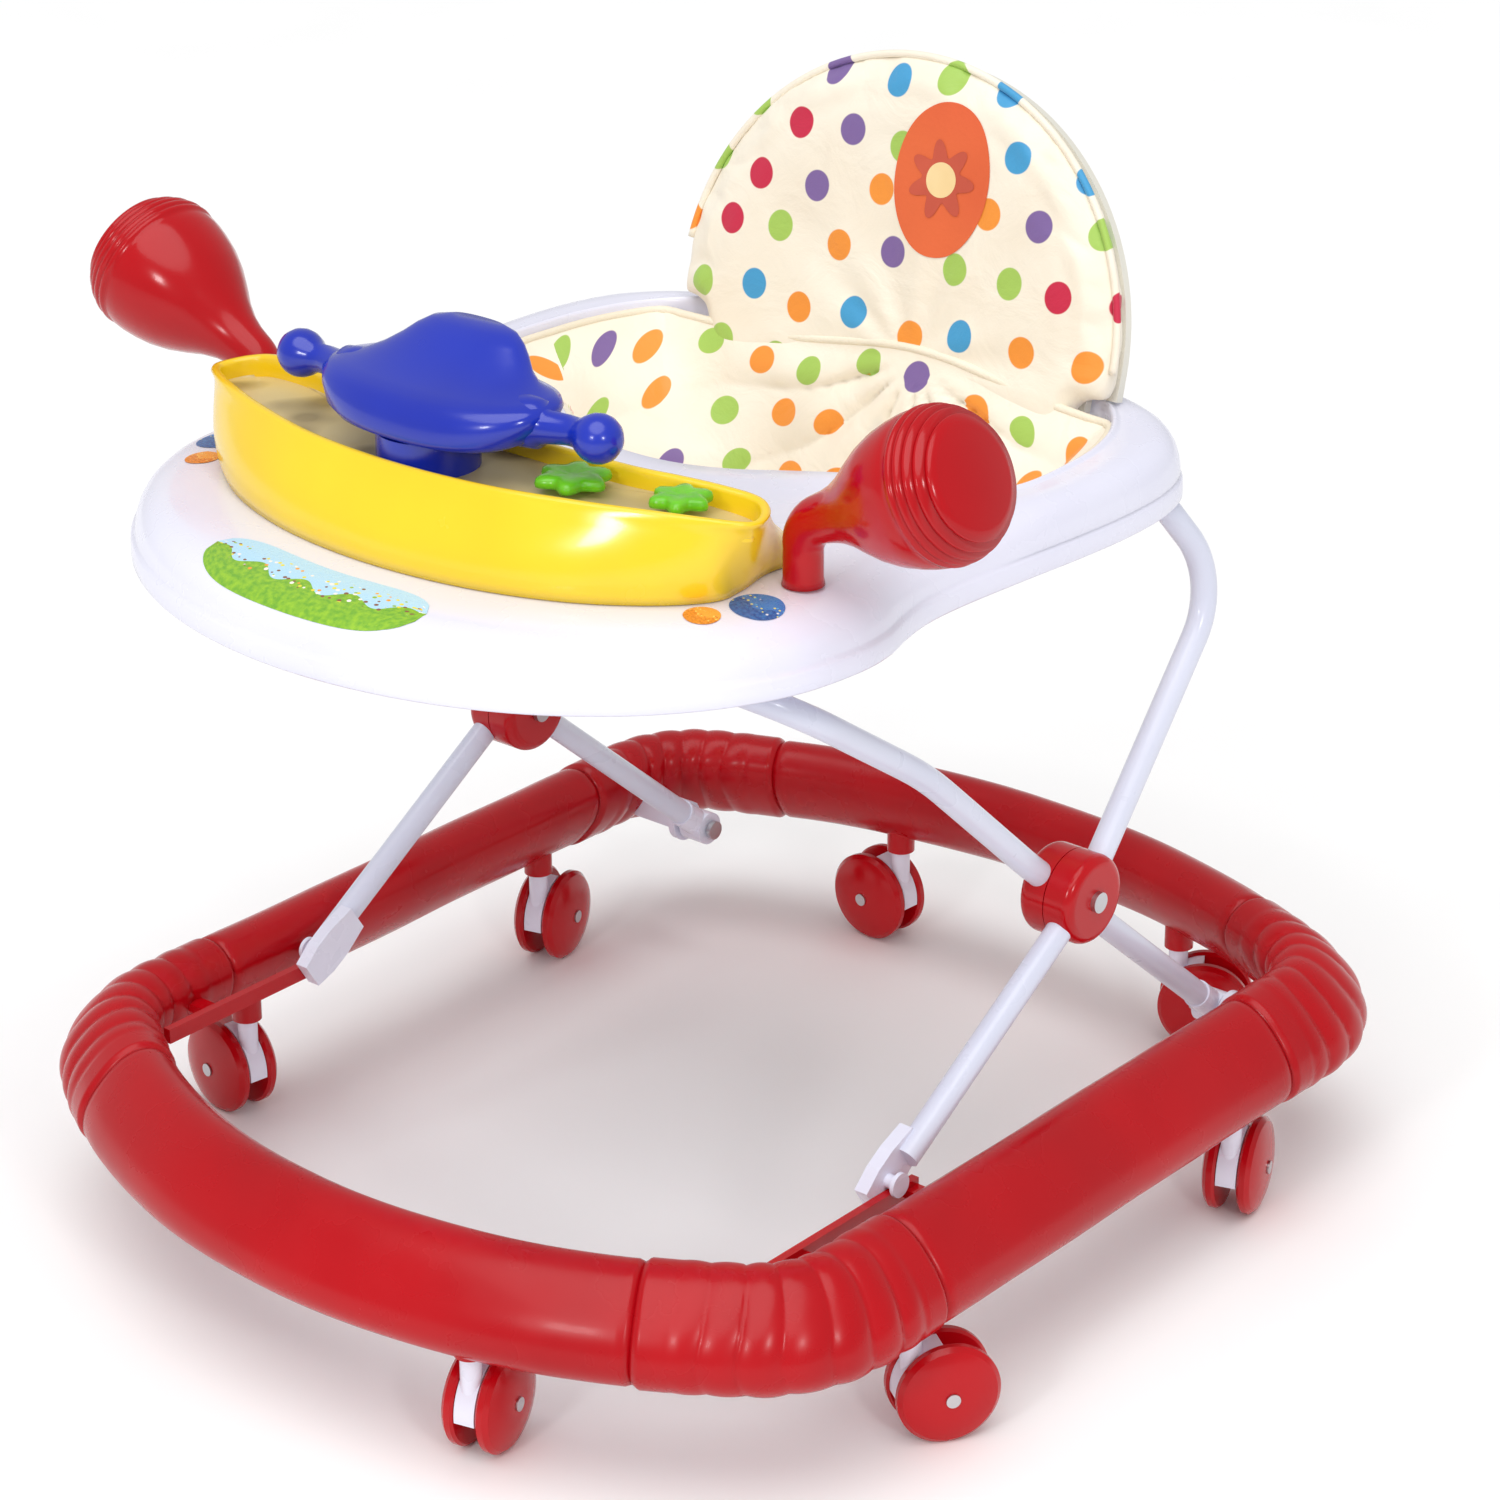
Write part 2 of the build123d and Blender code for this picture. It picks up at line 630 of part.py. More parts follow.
tray_hollow = tray_block(TRAY_WALL, TRAY_BOTTOM - 1, TRAY_TOP - TRAY_PLATE, TRAY_LIP)
CHEEK = (4.5, 22.0, 26.0)
cheek_x = TRAY_PIVOT_X - LEG_R - 1 - CHEEK[0] / 2
with BuildPart() as tray_shell:
    add(tray_block(0.0, TRAY_BOTTOM, TRAY_TOP, TRAY_LIP))
    add(tray_hollow, mode=Mode.SUBTRACT)
    extrude(opening_face(COLLAR_BOTTOM, COLLAR_WALL).sketch, amount=TRAY_TOP - COLLAR_BOTTOM)
    extrude(opening_face(COLLAR_BOTTOM - 1, 0).sketch, amount=TRAY_TOP - COLLAR_BOTTOM + 2,
            mode=Mode.SUBTRACT)
    # Cheeks that carry the rear legs' top pivots
    for side in (1, -1):
        with Locations((side * cheek_x, TRAY_PIVOT[0], TRAY_TOP - TRAY_PLATE - CHEEK[2] / 2)):
            Box(*CHEEK)
        # Bearing ribs that rest on the front leg's crossbar
        with Locations((side * RIB_X, -215.0, (RIB_BOTTOM + TRAY_TOP - TRAY_PLATE) / 2)):
            Box(5, 100, TRAY_TOP - TRAY_PLATE - RIB_BOTTOM)
        stem = (side * MIRROR_BASE[0], MIRROR_BASE[1])
        add(rod((*stem, TRAY_TOP - TRAY_PLATE - 6), (*stem, TRAY_TOP), MIRROR_PIN_R + 3))
        add(rod((*stem, TRAY_TOP - TRAY_PLATE - 7), (*stem, TRAY_TOP + 1), MIRROR_PIN_R + RUNNING),
            mode=Mode.SUBTRACT)
        add(rod((side * (cheek_x - 9), *TRAY_PIVOT), (side * (cheek_x + 5), *TRAY_PIVOT), PIVOT_PIN_R),
            mode=Mode.SUBTRACT)
save("tray_shell", tray_shell)

with BuildPart() as tray_pivot_pins:
    for side in (1, -1):
        head = side * (TRAY_PIVOT_X + LEG_R + 2.5)
        add(rod((side * (cheek_x - CHEEK[0] / 2), *TRAY_PIVOT), (head, *TRAY_PIVOT), PIVOT_PIN_R))
        add(rod((head, *TRAY_PIVOT), (head + side * 2, *TRAY_PIVOT), PIVOT_PIN_R + 1.5))
save("tray_pivot_pins", tray_pivot_pins)


# ---------------------------------------------------------------- play panel


def panel_block(inset, bottom, top):
    """The raised panel as a solid: leaning walls, a bowed front and a steeper back."""
    front_centre = PANEL_FRONT_Y + PANEL_RADIUS
    rise = top - bottom
    with BuildPart() as block:
        with BuildSketch(Plane.XY.offset(bottom)) as plan:
            with Locations((0, front_centre)):
                Circle(PANEL_RADIUS - inset)
            with Locations((0, (-300 + PANEL_REAR_Y - inset) / 2)):
                Rectangle(
                    2 * (PANEL_HALF_WIDTH - inset),
                    300 + PANEL_REAR_Y - inset,
                    mode=Mode.INTERSECT,
                )
            fillet(plan.vertices().group_by(Axis.Y)[0], PANEL_CORNER)
        extrude(amount=rise, taper=PANEL_TAPER)
        back = PANEL_BACK_TOP_Y - inset
        lean = (PANEL_REAR_Y - 4 - PANEL_BACK_TOP_Y) / (PANEL_TOP - TRAY_TOP)
        with BuildSketch(Plane.YZ.offset(-250)):
            with BuildLine():
                Polyline(
                    (back - lean * 5, PANEL_TOP + 5),
                    (back + lean * (PANEL_TOP - TRAY_TOP + 5), TRAY_TOP - 5),
                    (0, TRAY_TOP - 5),
                    (0, PANEL_TOP + 5),
                    close=True,
                )
            make_face()
        extrude(amount=500, mode=Mode.SUBTRACT)
    return block.part


with BuildPart() as play_panel:
    add(panel_block(0.0, TRAY_TOP, PANEL_TOP))
    add(panel_block(PANEL_WALL, TRAY_TOP, PANEL_TOP), mode=Mode.SUBTRACT)
save("play_panel", play_panel)

with BuildPart() as panel_deck:
    add(panel_block(PANEL_WALL, TRAY_TOP, PANEL_TOP))
    with Locations((0, 0, (DECK_BOTTOM + DECK_TOP) / 2)):
        Box(600, 900, DECK_TOP - DECK_BOTTOM, mode=Mode.INTERSECT)
    for x, y in FLOWERS.values():
        add(rod((x, y, DECK_BOTTOM - 8), (x, y, DECK_TOP), FLOWER_STEM_R + 3))
        add(rod((x, y, DECK_BOTTOM - 9), (x, y, DECK_TOP + 1), FLOWER_STEM_R + RUNNING), mode=Mode.SUBTRACT)
save("panel_deck", panel_deck)

with BuildPart() as steering_column:
    add(rod((0, STEERING_Y, DECK_TOP), (0, STEERING_Y, STEERING_SPLIT), STEERING_POST_R))
    add(rod((0, STEERING_Y, STEERING_SPLIT), (0, STEERING_Y, STEERING_SPLIT + 14), STEERING_AXLE_R))
save("steering_column", steering_column)

# The steering handle: a waisted yoke with a ball on each end and a hump towards the child.
with BuildPart() as steering_handle:
    with BuildSketch(Plane.XY.offset(STEERING_SPLIT + 0.5)):
        with Locations((0, STEERING_Y)):
            Circle(STEERING_POST_R + 4)
        with Locations((0, GRIP_Y + 2)):
            Ellipse(78, 27)
    extrude(amount=20)
    with BuildSketch(Plane.YZ.offset(-36)):
        with BuildLine():
            Polyline(
                (STEERING_Y - 16, STEERING_SPLIT + 16),
                (STEERING_Y - 12, STEERING_SPLIT + 26),
                (GRIP_Y + 12, 572),
                (GRIP_Y + 27, 575),
                (GRIP_Y + 34, 566),
                (GRIP_Y + 28, STEERING_SPLIT + 12),
                close=True,
            )
        make_face()
    extrude(amount=72)
    fillet(steering_handle.edges().filter_by(Axis.X).sort_by(Axis.Z)[-3:], 4)
    add(rod((-GRIP_SPAN, GRIP_Y, GRIP_Z), (GRIP_SPAN, GRIP_Y, GRIP_Z), 8.5))
    with Locations((GRIP_SPAN, GRIP_Y, GRIP_Z), (-GRIP_SPAN, GRIP_Y, GRIP_Z)):
        Sphere(GRIP_BALL_R)
    add(rod((0, STEERING_Y, STEERING_SPLIT), (0, STEERING_Y, STEERING_SPLIT + 15), STEERING_AXLE_R + RUNNING),
        mode=Mode.SUBTRACT)
save("steering_handle", steering_handle)

# Toy mirrors: an upright stem, and a bulb that points up and outwards from its elbow.
tilt = radians(MIRROR_TILT)
BULB_PROFILE = [
    (9, 0), (9, 13), (22, 17), (48, 35), (60, 39.5), (72, 41), (86, 39.5), (98, 30), (104, 12), (104, 0),
]
for label, side in (("left", 1), ("right", -1)):
    base = Vector(side * MIRROR_BASE[0], MIRROR_BASE[1], TRAY_TOP)
    elbow = Vector(base.X, base.Y, MIRROR_ELBOW_Z)
    outward = Vector(side * cos(tilt), 0, sin(tilt))
    with BuildPart() as bulb:
        with BuildSketch(Plane(origin=elbow, x_dir=outward, z_dir=(0, 1, 0))):
            with BuildLine():
                Polyline(*[(along, -side * radius) for along, radius in BULB_PROFILE], close=True)
            make_face()
        revolve(axis=Axis(elbow, outward))
    save(f"mirror_bulb_{label}", bulb)

    with BuildPart() as stem:
        add(rod(tuple(base + Vector(0, 0, 0.5)), tuple(elbow), MIRROR_STEM_R))
        add(rod(tuple(base - Vector(0, 0, TRAY_PLATE + 4)), tuple(base + Vector(0, 0, 1)), MIRROR_PIN_R))
        with Locations(elbow):
            Sphere(MIRROR_STEM_R)
        add(bulb.part, mode=Mode.SUBTRACT)
    save(f"mirror_stem_{label}", stem)

for label, (x, y) in FLOWERS.items():
    with BuildPart() as flower:
        with BuildSketch(Plane.XY.offset(FLOWER_BOTTOM)):
            with Locations((x, y)):
                Circle(FLOWER_R * 0.62)
                with PolarLocations(FLOWER_R * 0.62, 6):
                    Circle(FLOWER_R * 0.38)
        extrude(amount=FLOWER_TOP - FLOWER_BOTTOM)
        add(rod((x, y, DECK_BOTTOM - 8), (x, y, FLOWER_BOTTOM), FLOWER_STEM_R))
    save(f"flower_button_{label}", flower)


# ---------------------------------------------------------------- seat


def sling_block(inset, bottom, top):
    """The hanging bucket: wide at the rim and narrow at the crotch."""
    levels = [
        (top, SLING_HALF_WIDTH, SLING_FRONT_Y, SLING_REAR_Y, 55),
        (400.0, 128.0, -40.0, 122.0, 50),
        (bottom, 60.0, -8.0, 90.0, 35),
    ]
    faces = [
        rounded_block_face(z, half - inset, front + inset, rear - inset, corner - inset, corner - inset)
        for z, half, front, rear, corner in levels
    ]
    with BuildPart() as block:
        for lower, upper in ((1, 0), (2, 1)):
            loft([faces[lower].sketch.faces()[0], faces[upper].sketch.faces()[0]], ruled=True)
    return block.part


with BuildPart() as seat_sling:
    add(sling_block(0.0, SLING_BOTTOM, SLING_TOP))
    add(sling_block(SLING_WALL, SLING_BOTTOM + SLING_WALL, SLING_TOP + 0.01), mode=Mode.SUBTRACT)
    for side in (1, -1):
        inside = (side * 34, 30, LEG_HOLE_Z)
        outside = (side * 100, -110, LEG_HOLE_Z)
        add(rod(inside, outside, LEG_HOLE_R), mode=Mode.SUBTRACT)
save("seat_sling", seat_sling)

# Seat clips: blocks that join the sling's hem to the collar of the tray.
with BuildPart() as seat_clips:
    for side in (1, -1):
        for y in (16.0, 62.0):
            with Locations((side * (SLING_HALF_WIDTH + OPENING_HALF_WIDTH) / 2, y, SLING_TOP - 9)):
                Box(OPENING_HALF_WIDTH - SLING_HALF_WIDTH, 22, 14)
        with Locations((side * 62.0, (SLING_FRONT_Y + OPENING_FRONT_Y) / 2, SLING_TOP - 9)):
            Box(22, SLING_FRONT_Y - OPENING_FRONT_Y, 14)
save("seat_clips", seat_clips)

back_plane = Plane(
    origin=(0, BACK_BASE_Y, BACK_BASE_Z),
    x_dir=(1, 0, 0),
    z_dir=(0, -cos(radians(BACK_TILT)), sin(radians(BACK_TILT))),
)


def back_slab(inset, behind, thickness):
    """A slab with the backrest's outline, lying behind the backrest's front face."""
    with BuildPart() as slab:
        with BuildSketch(back_plane.offset(-behind)):
            Ellipse(BACK_HALF_WIDTH - inset, BACK_RISE - inset)
            with Locations((0, -BACK_RISE)):
                Rectangle(2 * BACK_HALF_WIDTH, 2 * BACK_RISE, mode=Mode.SUBTRACT)
            with Locations((0, BACK_SHOULDER / 2)):
                Rectangle(2 * (BACK_HALF_WIDTH - inset), -BACK_SHOULDER)
            with Locations((0, -BACK_DROP / 2)):
                Rectangle(2 * (BACK_TONGUE_HALF_WIDTH - inset), BACK_DROP)
        extrude(amount=-thickness)
    return slab


backrest_pad = back_slab(0.0, 0.0, BACK_PAD)
fillet(backrest_pad.faces().sort_by(Axis.Y)[0].edges(), 5)
save("backrest_pad", backrest_pad)
save("backrest_board", back_slab(4.0, BACK_PAD, BACK_BOARD))

with BuildPart() as backrest_stays:
    for side in (1, -1):
        with Locations((side * 70.0, (OPENING_REAR_Y + 150.0) / 2, 448.0)):
            Box(24, OPENING_REAR_Y - 150.0, 16)
    add(back_slab(0.0, -40.0, BACK_PAD + BACK_BOARD + 40.0).part, mode=Mode.SUBTRACT)
save("backrest_stays", backrest_stays)
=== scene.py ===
"""Looks for the baby walker: detailed shells, fabric and materials over the CAD frame.

Metres, in the row frame: +Z up, the walker faces -Y, and its left is +X.
"""

import json
from math import atan2, cos, exp, pi, radians, sin, sqrt

import bmesh
import bpy
import numpy as np
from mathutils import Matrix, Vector
from mathutils.bvhtree import BVHTree


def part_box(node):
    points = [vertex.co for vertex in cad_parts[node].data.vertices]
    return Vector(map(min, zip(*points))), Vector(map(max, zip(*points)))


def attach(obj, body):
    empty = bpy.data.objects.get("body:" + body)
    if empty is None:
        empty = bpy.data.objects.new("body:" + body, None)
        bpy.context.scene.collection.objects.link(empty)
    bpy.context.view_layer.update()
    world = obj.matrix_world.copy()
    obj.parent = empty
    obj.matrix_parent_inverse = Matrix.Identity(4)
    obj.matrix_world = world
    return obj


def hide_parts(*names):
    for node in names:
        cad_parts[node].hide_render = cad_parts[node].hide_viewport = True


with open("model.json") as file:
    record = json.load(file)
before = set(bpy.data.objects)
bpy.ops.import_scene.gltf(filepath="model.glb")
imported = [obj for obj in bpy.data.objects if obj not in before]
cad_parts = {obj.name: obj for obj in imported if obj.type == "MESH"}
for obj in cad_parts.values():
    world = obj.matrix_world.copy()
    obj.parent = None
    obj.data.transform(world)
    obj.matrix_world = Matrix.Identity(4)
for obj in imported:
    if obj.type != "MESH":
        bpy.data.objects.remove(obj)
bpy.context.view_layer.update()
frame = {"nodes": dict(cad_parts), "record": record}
MM = 0.001

# ---------------------------------------------------------------- mesh helpers


def make_object(name, verts, faces, material, body, replaced=(), uvs=None, smooth=True):
    """A mesh object that rides on a body and stands for the CAD nodes it replaces."""
    mesh = bpy.data.meshes.new(name)
    mesh.from_pydata([tuple(map(float, v)) for v in verts], [], faces)
    if uvs is not None:
        layer = mesh.uv_layers.new(name="UVMap")
        for loop in mesh.loops:
            layer.data[loop.index].uv = uvs[loop.vertex_index]
    obj = bpy.data.objects.new(name, mesh)
    bpy.context.scene.collection.objects.link(obj)
    bm = bmesh.new()
    bm.from_mesh(mesh)
    bmesh.ops.recalc_face_normals(bm, faces=bm.faces)
    bm.to_mesh(mesh)
    bm.free()
    if smooth:
        mesh.polygons.foreach_set("use_smooth", [True] * len(mesh.polygons))
    mesh.materials.append(material)
    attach(obj, body)
    if replaced:
        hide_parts(*replaced)
    return obj


def grid_faces(rows, columns, closed_columns=True, closed_rows=False):
    faces = []
    for r in range(rows if closed_rows else rows - 1):
        for c in range(columns if closed_columns else columns - 1):
            r2, c2 = (r + 1) % rows, (c + 1) % columns
            faces.append((r * columns + c, r * columns + c2, r2 * columns + c2, r2 * columns + c))
    return faces


def loft(name, rings, material, body, replaced=(), cap_start=True, cap_end=True, uvs=None):
    """A skin through closed rings of equal length, capped where asked."""
    columns = len(rings[0])
    verts = np.concatenate(rings)
    faces = grid_faces(len(rings), columns)
    if cap_start:
        faces.append(tuple(range(columns)))
    if cap_end:
        last = (len(rings) - 1) * columns
        faces.append(tuple(range(last, last + columns)))
    return make_object(name, verts, faces, material, body, replaced, uvs)


def frames_along(points):
    """Unit tangents of a polyline."""
    points = np.asarray(points, float)
    tangents = np.gradient(points, axis=0)
    return tangents / np.linalg.norm(tangents, axis=1)[:, None]


def tube_rings(points, radii, sides=32, up=(0, 1, 0)):
    """Round sections of the given radii along a path that lies across `up`."""
    points = np.asarray(points, float)
    tangents = frames_along(points)
    up = np.asarray(up, float)
    angles = np.linspace(0, 2 * pi, sides, endpoint=False)
    rings = []
    for point, tangent, radius in zip(points, tangents, radii):
        side = np.cross(tangent, up)
        side /= np.linalg.norm(side)
        other = np.cross(side, tangent)
        rings.append(point + radius * (np.outer(np.cos(angles), side) + np.outer(np.sin(angles), other)))
    return rings


def closed_spline(points, count):
    """A smooth closed curve through points, as `count` points evenly spaced along it."""
    points = np.asarray(points, float)
    n = len(points)
    fine = []
    for i in range(n):
        p0, p1, p2, p3 = (points[(i + k) % n] for k in (-1, 0, 1, 2))
        for t in np.linspace(0, 1, 24, endpoint=False):
            fine.append(
                0.5 * (2 * p1 + (p2 - p0) * t + (2 * p0 - 5 * p1 + 4 * p2 - p3) * t * t
                       + (3 * p1 - p0 - 3 * p2 + p3) * t**3)
            )
    fine = np.array(fine + [fine[0]])
    length = np.concatenate([[0], np.cumsum(np.linalg.norm(np.diff(fine, axis=0), axis=1))])
    at = np.linspace(0, length[-1], count, endpoint=False)
    return np.stack([np.interp(at, length, fine[:, k]) for k in range(fine.shape[1])], 1)


def outward_normals(curve):
    """Outward normals of a closed anticlockwise plan curve."""
    along = np.roll(curve, -1, axis=0) - np.roll(curve, 1, axis=0)
    along /= np.linalg.norm(along, axis=1)[:, None]
    return np.stack([along[:, 1], -along[:, 0]], 1)


def smoothstep(a, b, x):
    t = np.clip((x - a) / (b - a), 0, 1)
    return t * t * (3 - 2 * t)


def power(value, exponent):
    return np.sign(value) * np.abs(value) ** exponent


# ---------------------------------------------------------------- materials


def node_material(name):
    material = bpy.data.materials.new(name)
    material.use_nodes = True
    tree = material.node_tree
    shader = tree.nodes["Principled BSDF"]
    return material, tree, shader


def add_node(tree, kind, **values):
    node = tree.nodes.new(kind)
    for key, value in values.items():
        if hasattr(node, key):
            setattr(node, key, value)
        else:
            node.inputs[key].default_value = value
    return node


def noise_roughness(tree, shader, coordinates, low, high, scale):
    """Roughness that wanders between low and high."""
    noise = add_node(tree, "ShaderNodeTexNoise")
    noise.inputs["Scale"].default_value = scale
    noise.inputs["Detail"].default_value = 4
    tree.links.new(coordinates, noise.inputs["Vector"])
    spread = add_node(tree, "ShaderNodeMapRange")
    spread.inputs["To Min"].default_value = low
    spread.inputs["To Max"].default_value = high
    spread.inputs["From Min"].default_value = 0.3
    spread.inputs["From Max"].default_value = 0.7
    tree.links.new(noise.outputs["Fac"], spread.inputs["Value"])
    tree.links.new(spread.outputs["Result"], shader.inputs["Roughness"])
    return noise


def noise_bump(tree, shader, coordinates, scale, strength, distance):
    noise = add_node(tree, "ShaderNodeTexNoise")
    noise.inputs["Scale"].default_value = scale
    noise.inputs["Detail"].default_value = 3
    tree.links.new(coordinates, noise.inputs["Vector"])
    bump = add_node(tree, "ShaderNodeBump")
    bump.inputs["Strength"].default_value = strength
    bump.inputs["Distance"].default_value = distance
    tree.links.new(noise.outputs["Fac"], bump.inputs["Height"])
    tree.links.new(bump.outputs["Normal"], shader.inputs["Normal"])
    return bump


def shade_variation(tree, coordinates, color, darker, scale):
    """The colour socket of a base colour that wanders a little towards a darker one."""
    noise = add_node(tree, "ShaderNodeTexNoise")
    noise.inputs["Scale"].default_value = scale
    noise.inputs["Detail"].default_value = 2
    tree.links.new(coordinates, noise.inputs["Vector"])
    ramp = add_node(tree, "ShaderNodeValToRGB")
    ramp.color_ramp.elements[0].position = 0.35
    ramp.color_ramp.elements[1].position = 0.65
    ramp.color_ramp.elements[0].color = (*darker, 1)
    ramp.color_ramp.elements[1].color = (*color, 1)
    tree.links.new(noise.outputs["Fac"], ramp.inputs["Fac"])
    return ramp.outputs["Color"]


def plastic(name, color, darker, rough=(0.16, 0.28), bump=0.04, bump_scale=18.0, coat=0.3,
            metallic=0.0, subsurface=0.0, specular=0.5):
    material, tree, shader = node_material(name)
    shader.inputs["Specular IOR Level"].default_value = specular
    place = add_node(tree, "ShaderNodeTexCoord").outputs["Object"]
    tree.links.new(shade_variation(tree, place, color, darker, 9.0), shader.inputs["Base Color"])
    noise_roughness(tree, shader, place, rough[0], rough[1], 30.0)
    noise_bump(tree, shader, place, bump_scale, bump, 0.002)
    shader.inputs["Coat Weight"].default_value = coat
    shader.inputs["Coat Roughness"].default_value = 0.08
    shader.inputs["Metallic"].default_value = metallic
    if subsurface:
        shader.inputs["Subsurface Weight"].default_value = subsurface
        shader.inputs["Subsurface Radius"].default_value = (0.01, 0.01, 0.01)
    return material


RED = plastic("red_gloss", (0.50, 0.0015, 0.006), (0.43, 0.001, 0.005), rough=(0.14, 0.24),
            coat=0.08, specular=0.3)
RED_BUMPER = plastic("red_bumper", (0.46, 0.0015, 0.006), (0.39, 0.001, 0.005), rough=(0.22, 0.34),
                     bump=0.05, bump_scale=14.0, coat=0.04, specular=0.28)
WHITE = plastic("white_gloss", (0.80, 0.80, 0.92), (0.76, 0.76, 0.89), rough=(0.22, 0.34), bump=0.02)
TUBE = plastic("white_paint", (0.70, 0.72, 0.84), (0.65, 0.67, 0.80), rough=(0.24, 0.38), bump=0.02,
               bump_scale=60.0)
STEEL = plastic("steel", (0.60, 0.60, 0.62), (0.50, 0.50, 0.52), rough=(0.24, 0.40), metallic=1.0, coat=0.0)
YELLOW = plastic("yellow_gloss", (0.95, 0.66, 0.015), (0.90, 0.60, 0.012), rough=(0.16, 0.28),
                 subsurface=0.1)
BLUE = plastic("blue_gloss", (0.006, 0.028, 0.46), (0.004, 0.020, 0.38), rough=(0.16, 0.28))
BOARD = plastic("board", (0.80, 0.78, 0.70), (0.74, 0.72, 0.64), rough=(0.5, 0.7), coat=0.0)


def green_material():
    material, tree, shader = node_material("green_translucent")
    place = add_node(tree, "ShaderNodeTexCoord").outputs["Object"]
    tree.links.new(shade_variation(tree, place, (0.28, 0.85, 0.03), (0.20, 0.72, 0.02), 60.0),
                   shader.inputs["Base Color"])
    noise_roughness(tree, shader, place, 0.10, 0.22, 60.0)
    noise_bump(tree, shader, place, 90.0, 0.1, 0.001)
    shader.inputs["Transmission Weight"].default_value = 0.35
    shader.inputs["Subsurface Weight"].default_value = 0.4
    shader.inputs["Subsurface Radius"].default_value = (0.004, 0.008, 0.002)
    return material


GREEN = green_material()

DOT_COLORS = [
    (0.90, 0.30, 0.03),
    (0.58, 0.010, 0.055),
    (0.37, 0.58, 0.10),
    (0.05, 0.33, 0.62),
    (0.20, 0.12, 0.34),
    (0.90, 0.30, 0.03),
    (0.37, 0.58, 0.10),
]


def math_node(tree, operation, a, b=None):
    node = add_node(tree, "ShaderNodeMath", operation=operation)
    for index, value in enumerate((a, b)):
        if value is None:
            continue
        if isinstance(value, (int, float)):
            node.inputs[index].default_value = value
        else:
            tree.links.new(value, node.inputs[index])
    return node.outputs[0]


